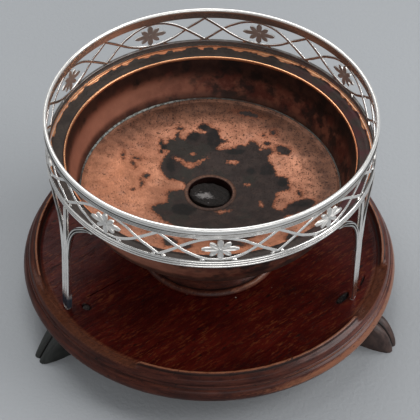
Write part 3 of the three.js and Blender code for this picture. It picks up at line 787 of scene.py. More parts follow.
def board():
    """The turned board, with a blind hole for the pedestal's tenon."""
    tenon_hole, tenon_floor = 9.3, 19.7
    outline = [(0, BOARD_UNDERSIDE)]
    outline += straight((4, BOARD_UNDERSIDE), (90, BOARD_UNDERSIDE), 20)
    outline += flow([(90.6, 16.5), (91.8, 16.5), (93.6, 17.3), (94.9, 18.9), (BOARD_RADIUS, 21),
                     (95.2, 23), (94.3, 24.6), (93.1, 25.4)], 0.6)
    outline += flow([(92.9, 25.9), (93.5, 26.4), (93.35, 27.0), (92.75, 27.35)], 0.3)
    outline += flow([(92.7, 27.9), (92.5, 28.8), (91.4, 30.3), (90.2, 31), (89.5, 31.6)], 0.4)
    outline += flow([(89.2, 32.3), (88.7, BOARD_LIP - 0.05), (88.1, 32.6), (87.8, 31.9), (87.2, 28.9),
                     (86, 27.9), (84, BOARD_FLOOR)], 0.4)
    outline += straight((83.6, BOARD_FLOOR), (71, BOARD_FLOOR), 0.42)
    outline += straight((71, BOARD_FLOOR), (46, BOARD_FLOOR), 1.2)
    outline += straight((46, BOARD_FLOOR), (tenon_hole, BOARD_FLOOR), 8)
    outline += [(tenon_hole, BOARD_FLOOR), (tenon_hole, tenon_floor), (0, tenon_floor)]
    points, faces = turned(outline, board_azimuths(), board_shape)
    azimuth, radius, height = as_grid(points)
    lip_edge = bell((radius, 88.5, 0.55)) * (height > 30.8)
    fillet = bell((radius, 93.4, 0.25), (height, 26.6, 0.4))
    lit_right = smoothstep(np.cos(np.radians(azimuth - 95)), -0.2, 0.9)
    torus = smoothstep(radius, 93.5, 95.2) * smoothstep(height, 18.5, 21.0)
    # Wear and painted highlight on the lip edge, and painted highlight on the fillet and torus, strongest
    # on the lit right side.
    wear_and_highlight = np.clip(lip_edge + fillet * (0.3 + 0.7 * lit_right) + torus * (0.25 + 0.6 * lit_right), 0, 1)
    # Grime and painted shade: dark in the groove, behind the lip, in the lip's inner corner, under the
    # fillet and in the floor's hollows.
    groove = bell((radius, 92.85, 0.3), (height, 25.75, 0.3))
    cut_away = scoop_depth(azimuth % 360)
    standing = 1 - cut_away
    behind_lip = bell((radius, 89.5, 0.28)) * (height > 31) * standing
    corner = bell((radius, 87.1, 0.6)) * (height < 29.4) * (height > 27) * standing
    under_fillet = bell((radius, 92.7, 0.2), (height, 27.5, 0.25)) * 0.8 * standing
    pit = smoothstep(BOARD_FLOOR - height, 0.3, 0.9) * (height > 25) * (radius < 86)
    dirt = np.clip(groove + behind_lip + corner * 0.8 + under_fillet + pit, 0, 1)
    ramp = cut_away * smoothstep(radius, 83.6, 85.2) * (1 - smoothstep(radius, 91.2, 92.2)) * (height > 27)
    return new_mesh("base_board_wood", points, faces, {"wear_and_highlight": wear_and_highlight, "dirt": dirt, "ramp": ramp})


stand_in(board(), "board", MAHOGANY, "stand", ["base_board"])


# Feet and nails

def foot_sections(azimuth, tip):
    """Two round ribs side by side over a flat sole, from the bracket's end out to the toes."""
    toe, heel, bracket_end, half_width = 11.5, 79, 63, 5.8
    bulge = 1.15 if azimuth == FEET["left"][0] else 1.65
    start = tip - toe
    across = at(azimuth + 90, 1, 0)
    sides = np.linspace(1, -1, 41)
    in_rib = 2 * np.abs(sides) - 1
    rib = np.sqrt(np.clip(1 - in_rib**2 * 0.985, 0, 1)) - 1
    round_toe = 2.6 * (1 - np.sqrt(np.clip(1 - in_rib**2 * 0.96, 0, 1)))
    stations = [(bracket_end, 0.0, 12.5), (mix(bracket_end, heel, 0.5), 0.0, 7.5), (heel, 0.0, 0.0)]
    stations += [(start, share, 0.0) for share in np.sin(np.linspace(0, math.pi / 2, 18))]
    sections, marks = [], []
    for radius, share, low in stations:
        full = BOARD_UNDERSIDE * max(0.0, 1 - share**bulge) ** (1 / bulge)
        width = half_width * (1 - 0.22 * share**2)
        out = radius + share * (toe - round_toe)
        high = np.maximum(full + 2.3 * rib * min(1, full / 6), low + 0.25)
        top = at(azimuth, out, high) + across * (sides * width)[:, None]
        sole = [at(azimuth, out[i], low) + across * sides[i] * width for i in (-1, 0)]
        sections.append(np.concatenate([top, sole]))
        # The groove between the ribs carries grime and painted shade.
        marks.append(np.concatenate([(np.abs(sides) < 0.12) * 1.0, [0.3, 0.3]]))
    return sections, np.array(marks)


def nail_outline():
    """A plain round nail, from its point up to its flat head."""
    head, top, thick, point = 1.9, BOARD_FLOOR - 0.25, 0.9, 9
    return [(0, point), (0.8, point + 1), (0.8, top - thick), (head, top - thick), (head, top - 0.25),
            (head - 0.3, top - 0.05), (head * 0.5, top), (0, top)]


for side, (azimuth, tip) in FEET.items():
    sections, dirt = foot_sections(azimuth, tip)
    mesh = new_mesh(f"foot_{side}_wood", *loft(sections), {"dirt": dirt})
    finish = BLACKENED_FOOT if side == "left" else BROWN_FOOT
    stand_in(mesh, f"bracket_foot_{side}", finish, "stand", [f"foot_{side}"])

for side, (azimuth, out) in NAILS.items():
    points, faces = turned(nail_outline(), np.arange(0, 360, 15))
    mesh = new_mesh(f"nail_{side}_iron", points + at(azimuth, out, -0.8), faces)
    stand_in(mesh, f"nail_{side}", IRON, "stand", [f"foot_nail_{side}"])


# Pedestal

def pan_floor(radius):
    """Height of the pan's dished floor."""
    return mix(PAN_HOLE_TOP, PAN_SEAM_TOP, (radius - PAN_HOLE) / (PAN_SEAM - PAN_HOLE))


def pedestal():
    """The turned stem that carries the pan; a ring of its own wood closes the socket's floor."""
    tenon, tenon_end, socket, socket_floor, table, rest = 9, 20, 12.6, 57.2, 26, 1.1
    ring = PEDESTAL_RADIUS
    outline = [(0, tenon_end), (tenon, tenon_end), (tenon, BOARD_FLOOR), (20, BOARD_FLOOR)]
    outline += flow([(ring - 0.5, BOARD_FLOOR), (ring, 28.3), (ring - 0.4, 29.3), (ring - 1.6, 30.4),
                     (ring - 2.6, 30.5), (ring - 3.0, 30.2)], 0.3)
    outline += flow([(ring - 3.8, 30.6), (29, 33.2), (22, 36.6), (16.8, 42), (15.2, 48), (16.4, 54),
                     (20.4, 58.8), (25, 61.4), (table + 0.6, 63), (table, pan_floor(table) - rest)], 0.7)
    outline += [(socket + 0.8, pan_floor(socket + 0.8) - rest), (socket, 63.4), (socket, socket_floor)]
    outline += [(SPIGOT_RADIUS - 1, socket_floor), (0, socket_floor)]
    points, faces = turned(outline, np.arange(0, 360, 1.5))
    azimuth, radius, height = as_grid(points)
    # Painted shade in the groove at the top of the foot ring.
    groove = bell((radius - ring, -2.8, 0.5)) * (height < 31.5)
    at_right = bell((azimuth, 38, 24))
    # Painted highlight on the foot ring's top, strongest on the right.
    wear_and_highlight = bell((radius - ring, -1.0, 1.5)) * (height > 28.6) * (0.35 + 0.2 * at_right)
    return new_mesh("pedestal_wood", points, faces, {"wear_and_highlight": wear_and_highlight, "dirt": groove})


def spigot():
    """The burnt end of the stem stands up in the pan's hole, burnt away askew to the back right."""
    base, shoulder, top = 57.3, 64.2, 65.9
    lean_right, lean_back = -0.12, -0.2
    outline = [(0, base)] + straight((3, base), (SPIGOT_RADIUS, base), 2)
    outline += straight((SPIGOT_RADIUS, base), (SPIGOT_RADIUS, shoulder), 0.6)
    outline += flow([(SPIGOT_RADIUS, shoulder), (9.8, 64.8), (6, 65.5), (0.3, top)], 0.35) + [(0, top)]

    def burnt(azimuth, radius, height):
        spot = at(azimuth, radius, 0.0)
        rough = lumps(spot, 21, 2.2) + 0.5 * lumps(spot, 22, 0.9)
        share = smoothstep(height, base + 1, shoulder)
        askew = lean_right * spot[..., 0] + lean_back * spot[..., 1]
        narrow = 0.1 * (1 + lumps(np.stack([azimuth, height], axis=-1), 23, 14))
        return radius - narrow * share, height + share * (askew + 0.2 * (rough - 1))

    points, faces = turned(outline, np.arange(0, 360, 3), burnt)
    return new_mesh("spigot_wood", points, faces)


stand_in(pedestal(), "turned_pedestal", MAHOGANY, "stand", ["pedestal"])
stand_in(spigot(), "charred_spigot", CHARRED, "stand", sharp=180)


# Copper pan

def pan_wall():
    """The wall is thin sheet, rounded in at the foot; the flange ends in a raised lip."""
    edge, top, lip, mouth, sheet = FLANGE_RADIUS + 0.3, FLANGE_TOP, PAN_LIP_TOP + 0.3, PAN_MOUTH, 1.0
    foot, turn_top, turn_low = PAN_SEAM, PAN_SEAM_TOP - 1.3, PAN_SEAM_TOP - 2.2
    turn_in = foot - 2.7
    outline = [(turn_in, turn_low)]
    outline += flow([(foot - 1.3, turn_low), (foot + 0.1, turn_low + 0.8), (foot + 1.2, turn_low + 2.6),
                     (foot + 2.2, 74), (foot + 3.5, 77.2), (foot + 5, 81.6), (mouth + sheet, 91.2)], 0.8)
    outline += flow([(mouth + sheet + 0.8, top - sheet), (edge - 0.8, top - sheet * 0.6),
                     (edge, top + 0.2)], 0.5)
    outline += flow([(edge, top + 0.8), (edge, lip - 0.3), (edge - 0.2, lip), (edge - 0.5, lip - 0.12),
                     (edge - 0.95, top + 0.7), (edge - 1.8, top + 0.2)], 0.2)
    outline += flow([(edge - 2.6, top + 0.05), (mouth + 1.7, top + 0.2)], 0.4)
    outline += flow([(mouth + 1.2, top + 0.4), (mouth + 0.6, top + 0.8), (mouth + 0.15, top + 0.6),
                     (mouth, top)], 0.15)
    outline += flow([(mouth - 0.1, top - 1.0), (foot + 4.1, 81.8), (foot + 2.6, 77.5), (foot + 1.3, 74.2),
                     (foot + 0.5, PAN_SEAM_TOP + 0.8), (foot + 0.4, turn_top + 1), (foot, turn_top + 0.2),
                     (foot - 1.3, turn_top)], 0.8)
    outline += [(turn_in, turn_top)]

    def beaten(azimuth, radius, height):
        dip = 0.05 + waver(azimuth, 31, 0.05, 9)
        wide = 0.03 + waver(azimuth, 32, 0.03, 7)
        out = smoothstep(radius, 74.0, edge) * (height > 92)
        return radius - wide * out, height - dip * out

    points, faces = turned(outline, shape=beaten, ring=True)
    azimuth, radius, height = as_grid(points)
    on_top = smoothstep(height, top - 1.2, top - 0.2)
    at_back_left = 0.5 + 0.5 * np.cos(np.radians(azimuth + 145))
    at_front = bell((turn_from(0, azimuth) ** 2, 0, 64**2))
    at_right = bell((azimuth, 78, 28))
    # Painted highlight: how bright the mouth's edge is painted round the pan, most at the back left and
    # least at the front and right.
    glint = 0.9 + 0.35 * at_back_left - 0.9 * at_front - 0.3 * at_right + waver(azimuth, 35, 0.3, 17)
    inner_edge = bell((radius - mouth, 0.4, 0.45)) * glint
    spot = at(azimuth, radius, 0.0)
    ragged = lumps(spot, 33, 5.0) + 0.5 * lumps(spot, 34, 1.3)
    ragged_edge = 0.5 + 0.35 * ragged
    at_middle_back = bell((azimuth % 360, 186, 30))
    outer_edge = smoothstep(radius, edge - 0.5 - ragged_edge, edge - ragged_edge)
    # Wear and painted highlight: the outer edge is painted brighter at the back left and fainter at the
    # middle back and front.
    outer_edge = outer_edge * (0.9 + 0.2 * at_back_left - 0.5 * at_middle_back - 0.8 * at_front)
    flange = smoothstep(radius, mouth + 0.5, mouth + 1.0) * on_top
    marks = {"wear_and_highlight": np.clip(inner_edge + outer_edge, 0, 1.25) * on_top, "flange": flange}
    return new_mesh("pan_wall_copper", points, faces, marks)


# The edge of the burn that embers left on the pan's floor, right of and behind the axis: from the
# back, clockwise.
BURN_EDGE = [
    (-4.5, 46.8), (-2.5, 48.3), (0, 48), (1.5, 46), (3.5, 44.5), (5.5, 43.8), (6.2, 42.5),
    (5.8, 41), (6.8, 39), (7.2, 37.2), (9, 35.8), (10.5, 35.2), (8.5, 34.8), (6.5, 33.8), (5, 31.5),
    (4, 30), (6, 29.8), (8.5, 30.2), (12, 29.9), (14, 30.5), (16, 32.5), (19, 31.8), (21, 33),
    (22, 34.8), (24, 34), (25.5, 32.5), (27, 29.5), (29.5, 29), (31, 30), (32.5, 28.8),
    (32.5, 26.5), (31, 25.2), (30.2, 23.5), (30.5, 20), (32, 16.5), (33, 13), (33.5, 10), (33, 8.8),
    (35, 7.6), (37, 8), (38.5, 6.5), (39.2, 4), (38.8, 1.8), (39.8, 0), (38.8, -1), (36.5, -1.8),
    (34, -2.2), (32.5, -3.5), (32, -5.5), (31, -8), (31, -10), (30.2, -12), (30.5, -14),
    (31.5, -15.3), (33.5, -16.2), (35, -16.5), (37, -13.8), (39, -11.8), (41.5, -10.5), (44, -9.5),
    (47, -9), (50, -9.2), (50.5, -12), (49, -15.5), (45, -17.5), (40, -19), (36, -20.5),
    (33.5, -23), (32, -26), (29.5, -28.5), (26, -30), (22, -31.5), (18.5, -34), (14, -35),
    (10, -33.6), (6, -34.8), (2, -35.5), (-2, -34), (-6, -34.2), (-10, -33), (-13, -30.5),
    (-15.5, -27.5), (-18, -24.5), (-21, -22), (-24.5, -20), (-24.8, -18), (-26.5, -15.5),
    (-28.5, -13), (-28.8, -10.5), (-26, -9), (-23.5, -7.5), (-21.5, -6.3), (-21, -4), (-21.5, -1),
    (-20.5, 1), (-18.5, 2), (-16, 1.5), (-13.5, 2.5), (-11.8, 3.5), (-12, 6.5), (-13.5, 8),
    (-16, 8.8), (-18, 9.5), (-20, 9.5), (-22, 11), (-23.5, 13.5), (-24.5, 17), (-23.8, 20.5),
    (-22.5, 23.5), (-21, 26), (-19.5, 28.5), (-19, 30), (-22, 30), (-23.5, 31), (-24.6, 33.5),
    (-24.8, 35.5), (-23.8, 36.8), (-22.8, 36.2), (-22.3, 34.5), (-21.2, 34), (-20.2, 35),
    (-20.6, 36.3), (-19, 37.2), (-16.5, 37.3), (-16, 39.5), (-15.5, 41.5), (-14.5, 42), (-14, 40),
    (-13.8, 38), (-12, 37.2), (-10.8, 37.8), (-9.8, 40), (-8.5, 42), (-6.5, 42.5), (-4.5, 42),
    (-3, 41.3), (-1, 41.2), (0, 42), (-0.5, 43), (-2.5, 43.8), (-4.5, 45),
]
# Spots: middle right of and behind the axis, half width, half depth, and turn of the width.
BARE_SPOTS = [
    (-15, 23.5, 3, 1.3, -30), (-10.5, 20.8, 3.4, 1.3, -8), (-4.5, 22, 3.4, 0.9, 25),
    (-9.5, 18.5, 2.4, 1.3, 0), (-8, 27, 1.4, 0.9, 0), (12.5, 20.8, 3, 1.2, 0),
    (24.5, -9.9, 1, 2, 0), (5, -13.8, 3.2, 1.1, 8), (18.5, 4.6, 1.3, 0.8, 0),
    (26.5, 29, 1.2, 0.8, 0),
]
ISLANDS = [
    (38, 27, 4, 2.6, -35), (34, 40, 1.5, 1.6, 0), (29, 38, 0.9, 0.9, 0), (30, 32.3, 1.4, 1.2, 0),
    (-13.8, 45, 1.4, 0.9, 0), (-31.5, 11.3, 1.6, 1.9, 0), (-34, 6.5, 0.8, 1.8, 0),
    (-38, 19.5, 0.6, 1.6, 20), (-43, 26, 0.6, 1.4, 0), (-35.5, 23.5, 1.5, 0.6, 0),
    (-38.7, 1, 0.8, 0.8, 0), (-24, 28.3, 0.6, 0.6, 0), (44, -5, 1, 1.5, 0), (-31.5, -27, 1.1, 1, 0),
    (22, 54, 5, 1.6, -20), (8, -37.5, 6.5, 2.6, -10), (-21, -36, 3.2, 2.8, 0),
    (-13, -39, 2.4, 1.3, 20), (37, -35, 2.4, 1.8, 30),
]
CHARRED_SPOTS = [
    (3.5, 37, 4, 7, 0), (-7, 39, 3.5, 3.5, 0), (-1.5, 46, 2.5, 2.2, 0), (-23, 32.5, 2, 3.5, 0),
    (-19, 19, 2.6, 6, 0), (-18.5, 9.5, 2, 1.6, 0), (29, 14, 3.5, 4, 0), (14, 28, 4, 2, 0),
    (21, 14, 2.6, 2.4, 0), (-14, -12, 6, 4.5, 0), (36, 4, 3, 3, 0), (44, -12.5, 5, 2, 0),
]


def spot_depth(x, y, spots):
    """How deep each point lies in the nearest of a list of spots, in millimetres; below 0 outside."""
    deepest = np.full_like(x, -99.0)
    for middle_x, middle_y, half_x, half_y, turn in spots:
        cosine, sine = math.cos(math.radians(turn)), math.sin(math.radians(turn))
        across = ((x - middle_x) * cosine + (y - middle_y) * sine) / half_x
        along = ((y - middle_y) * cosine - (x - middle_x) * sine) / half_y
        deepest = np.maximum(deepest, (1 - np.hypot(across, along)) * min(half_x, half_y))
    return deepest


def outline_depth(x, y, outline):
    """How deep each point lies inside a closed outline, in millimetres; below 0 outside."""
    nearest = np.full_like(x, 99.0)
    inside = np.zeros(x.shape, bool)
    for (ax, ay), (bx, by) in zip(outline, outline[1:] + outline[:1]):
        run, rise = bx - ax, by - ay
        share = np.clip(((x - ax) * run + (y - ay) * rise) / (run * run + rise * rise), 0, 1)
        nearest = np.minimum(nearest, np.hypot(x - ax - share * run, y - ay - share * rise))
        if rise:
            inside ^= ((ay > y) != (by > y)) & (x < ax + run * (y - ay) / rise)
    return np.where(inside, nearest, -nearest)


def floor_marks(points):
    """The burn's depth, its blackest places, and the painted shade along the floor's edge next to the wall.
    """
    x, y, _ = points.T
    radius = np.hypot(x, y)
    traced_y = y + 0.027 * (radius - PAN_HOLE)
    depth = outline_depth(x, traced_y, BURN_EDGE)
    depth = np.minimum(depth, -spot_depth(x, traced_y, BARE_SPOTS))
    depth = np.maximum(depth, spot_depth(x, traced_y, ISLANDS))
    char = smoothstep(spot_depth(x, traced_y, CHARRED_SPOTS), -2.5, 2.0)
    # Painted shade: darker towards the wall, more on the right and back, none at the front.
    edge = smoothstep(radius, 42, 60) * np.clip(0.74 + x / 150 + np.maximum(y, 0) / 180, 0, 1)
    edge = edge * smoothstep(y, -45, -10)
    return {"burn": np.clip(depth, -8, 8), "char": char, "edge": edge}


def dented(azimuth, radius, height):
    """The pan's floor is beaten a little uneven between the eyelet and the seam."""
    spot = at(azimuth, radius, 0.0)
    share = smoothstep(radius, 16.0, 26.0) * (1 - smoothstep(radius, 56.0, 62.0))
    return radius, height + 0.2 * share * lumps(spot, 41, 13.0)


def pan_bottom():
    """The dished bottom, turned up to the seam at its edge."""
    hole, under = PAN_HOLE + 1.3, 0.8
    inner_side = PAN_SEAM - 1.4
    outline = straight((hole, pan_floor(hole) - under), (inner_side, pan_floor(inner_side) - under), 4.0)
    outline += flow([(inner_side, pan_floor(inner_side) - under), (PAN_SEAM - 0.1, PAN_SEAM_TOP - 0.5),
                     (PAN_SEAM + 0.1, PAN_SEAM_TOP + 0.5), (PAN_SEAM - 0.4, PAN_SEAM_TOP + 0.4),
                     (PAN_SEAM - 1.2, PAN_SEAM_TOP - 0.05)], 0.3)
    outline += straight((PAN_SEAM - 2, pan_floor(PAN_SEAM - 2)), (hole, pan_floor(hole)), 0.6)
    outline += [(hole, pan_floor(hole))]
    points, faces = turned(outline, np.arange(0, 360, 0.6), dented, ring=True)
    return new_mesh("pan_bottom_copper", points, faces, floor_marks(points))


def pan_eyelet():
    """The tube that lines the pan's hole, with a filed lip over the floor."""
    bore, wall, lip, tube_end = PAN_HOLE - 0.1, PAN_HOLE + 0.9, PAN_HOLE + 1.9, 58
    under = pan_floor(lip) + 0.05

    def filed(azimuth, radius, height):
        return radius + 0.22 * waver(azimuth, 51, 1.0, 7) * (height > under), height

    outline = straight((bore, tube_end), (wall, tube_end), 0.5)
    outline += [(wall, tube_end), (wall, under), (lip, under)]
    outline += flow([(lip + 0.05, under + 0.1), (lip - 0.5, under + 0.35), (bore + 0.5, under + 0.4),
                     (bore, under + 0.1)], 0.2)
    return new_mesh("pan_eyelet_copper", *turned(outline, np.arange(0, 360, 2), filed, ring=True))


def solder_seam():
    """A bead of solder round the floor's edge, thick at the back left."""
    def uneven(azimuth, radius, height):
        thick = 0.45 * bell((turn_from(-137, azimuth), 0, 35))
        share = 0.82 + thick + waver(azimuth, 61, 0.18, 31)
        return out + (radius - out) * share, up + (height - up) * share

    out, up = PAN_SEAM + 0.3, PAN_SEAM_TOP + 0.4
    outline = arc((out, up), 0.62, 0, 330, 11)
    return new_mesh("solder_seam_tin", *turned(outline, shape=uneven, ring=True))


stand_in(pan_wall(), "coal_pan_wall", COPPER_WALL, "pan", ["pan_wall"])
stand_in(pan_bottom(), "coal_pan_floor", COPPER_FLOOR, "pan", ["pan_bottom"])
stand_in(pan_eyelet(), "coal_pan_eyelet", EYELET, "pan", ["pan_eyelet"])
stand_in(solder_seam(), "coal_pan_solder_seam", SOLDER, "pan")


# Gallery rims

RIM_AZIMUTHS = np.arange(0, 360, 0.6)


def reed_outline(low, high, count):
    """The outside of a rim, upwards: round reeds with a sharp valley between each two."""
    pitch = (high - low) / count
    reed = pitch / 2
    line = []
    for i in range(count):
        line += arc((GALLERY_RADIUS - 0.05 - reed, low + (i + 0.5) * pitch), reed, -80, 80, 9)
    return line


def rim_mesh(name, outline, valleys, shaded_from=999.0, highlit_from=999.0):
    """A rim with dark hollows at the named heights, a little uneven as hand work is.

    Its inside is darkened as painted shade above one height, and it gets a white painted highlight
    above another. Painted shade makes the hollows darkest at both sides.
    """
    def uneven(azimuth, radius, height):
        return radius - 0.06 - waver(azimuth, 71, 0.06, 6), height - 0.08 - waver(azimuth, 72, 0.08, 5)

    points, faces = turned(outline, RIM_AZIMUTHS, uneven, ring=True)
    reach = 0.28
    hollow = [max(bell((z, valley, reach)) for valley in valleys) * (r > GALLERY_RADIUS - 0.75)
              for r, z in outline]
    # Painted shade: the inside near the top edge is darkened above the given height.
    inner_top_shade = [0.8 * (z > shaded_from) * (r < GALLERY_BORE + 1.15) for r, z in outline]
    # Painted shade: the hollows are darkened more towards the left and right sides.
    side_shade = 0.75 + 0.5 * np.sin(np.radians(RIM_AZIMUTHS)) ** 2
    hollow = np.maximum(np.outer(side_shade, hollow), inner_top_shade)
    # Painted highlight: the rim is lightened white above the given height.
    rubbed_and_highlit = np.tile([smoothstep(z, highlit_from, highlit_from + 0.3) for r, z in outline], len(RIM_AZIMUTHS))
    return new_mesh(name, points, faces, {"hollow": hollow, "rubbed_and_highlit": rubbed_and_highlit})


def upper_rim():
    """Three reeds, a plain hollowed band and a round bead on top."""
    reeds_top = UPPER_RIM_LOW + 2.3
    bead, half_wide, tall = (GALLERY_RADIUS - 0.98, GALLERY_TOP - 0.98), 0.92, 0.98 / 0.92
    outline = reed_outline(UPPER_RIM_LOW, reeds_top, 3)
    outline += flow([(GALLERY_RADIUS - 0.45, reeds_top + 0.12), (GALLERY_RADIUS - 0.62, reeds_top + 0.6),
                     (GALLERY_RADIUS - 0.5, bead[1] - 0.72)], 0.15)
    outline += arc(bead, half_wide, -46, 205, 26, tall)
    outline += [(GALLERY_BORE - 0.05, bead[1] - 1.2), (GALLERY_BORE - 0.05, UPPER_RIM_LOW + 0.1)]
    valleys = [UPPER_RIM_LOW + 2.3 * i / 3 for i in range(4)] + [bead[1] - 0.85]
    # Painted highlight on the top of the bead.
    return rim_mesh("upper_rim_silver", outline, valleys, highlit_from=bead[1] - 0.45)


def lower_rim():
    """Three reeds, with a rounded top edge inside that is darkened as painted shade."""
    low = LOWER_RIM_LOW - 0.25
    outline = [(GALLERY_BORE - 0.05, low)] + reed_outline(LOWER_RIM_LOW, LOWER_RIM_TOP, 3)
    outline += arc((GALLERY_BORE + 0.75, LOWER_RIM_TOP - 0.65), 0.8, 75, 180, 12, 0.8)
    pitch = (LOWER_RIM_TOP - LOWER_RIM_LOW) / 3
    valleys = [LOWER_RIM_LOW + pitch * i for i in range(3)]
    return rim_mesh("lower_rim_silver", outline, valleys, LOWER_RIM_TOP - 0.7)


stand_in(upper_rim(), "upper_rim", SILVER, "stand", ["gallery_upper_rim"])
stand_in(lower_rim(), "lower_rim", SILVER, "stand", ["gallery_lower_rim"])


# Lattice straps

STRAP_INNER = GALLERY_BORE + STRAP_THICKNESS / 2
STRAP_LAP = 0.34


def strap_middle(azimuth, direction):
    """Height and slope of a strap's middle line: an arch over each rosette, straight to the V."""
    angle = (azimuth + PITCH / 2) % PITCH - PITCH / 2
    away = np.abs(angle)
    arch = STRAP_REACH * (1 - (away / CROSSING) ** 2)
    run = -STRAP_REACH * (away - CROSSING) / (PITCH / 2 - CROSSING)
    height = np.where(away <= CROSSING, arch, run)
    arch_slope = -2 * STRAP_REACH * away / CROSSING**2
    run_slope = -STRAP_REACH / (PITCH / 2 - CROSSING)
    slope = np.where(away <= CROSSING, arch_slope, run_slope) * np.sign(angle)
    over = np.abs(angle - direction * CROSSING)
    radius = STRAP_INNER + STRAP_LAP * smoothstep(1 - over / 4, 0, 0.6)
    return direction * height, slope, radius


def strap(direction):
    """A strap flat outside and round inside, bent to the gallery and lapped at the crossings."""
    section = [(-1, 0.2), (-0.97, -0.25), (-0.8, -0.65), (-0.45, -0.95), (0, -1.05), (0.45, -0.95),
               (0.8, -0.65), (0.97, -0.25), (1, 0.2), (0.95, 0.65), (0.8, 0.92), (0.55, 1),
               (-0.55, 1), (-0.8, 0.92), (-0.95, 0.65)][::-1]
    azimuths = np.arange(0, 360, 0.4)
    height, slope, radius = strap_middle(azimuths, direction)
    per_degree = math.radians(1) * STRAP_INNER
    reach = STRAP_WIDTH / 2 * np.sqrt(1 + (slope / per_degree) ** 2)
    rows = [at(azimuths, radius + depth * STRAP_THICKNESS / 2, OPENWORK_MIDDLE + height + across * reach)
            for across, depth in section]
    points = np.stack(rows, axis=1)
    faces = lattice_faces(len(azimuths), len(section), True, True)
    return new_mesh("strap_silver", points.reshape(-1, 3), faces)


stand_in(strap(1), "strap_high", SILVER, "stand", ["lattice_strap_high"])
stand_in(strap(-1), "strap_low", SILVER, "stand", ["lattice_strap_low"])


def solder_nubs():
    """Small fillets of solder where the low arches and the V tips meet the lower rim.

    Places are degrees from a rosette, half width, and lean of the tip towards the strap; layers
    are depth from the straps' middle and share of the full size.
    """
    places = [(-5.2, 1.5, 0.55), (5.2, 1.5, -0.55), (18.3, 1.1, 0.55), (21.7, 1.1, -0.55)]
    layers = [(-0.28, 1.0), (0.3, 0.85), (0.5, 0.35)]
    points, faces = [], []
    for number in range(ROSETTES):
        for off, reach, lean in places:
            start = len(points)
            base = [(-reach, 0.0), (reach, 0.0), (lean, 1.15 * reach)]
            for depth, grow in layers:
                for aside, high in base:
                    turn = number * PITCH + off + math.degrees(aside * grow / STRAP_INNER)
                    points.append(at(turn, STRAP_INNER + depth, LOWER_RIM_TOP - 0.25 + high * grow))
            sides = [(i, (i + 1) % 3) for i in range(3)]
            skin = [(a + low, b + low, b + low + 3, a + low + 3) for low in (0, 3) for a, b in sides]
            faces += [tuple(start + corner for corner in face) for face in skin + [(2, 1, 0), (6, 7, 8)]]
    return new_mesh("solder_nubs_silver", points, faces)


stand_in(solder_nubs(), "gallery_solder_nubs", SILVER, "stand", sharp=60)


# Rosettes

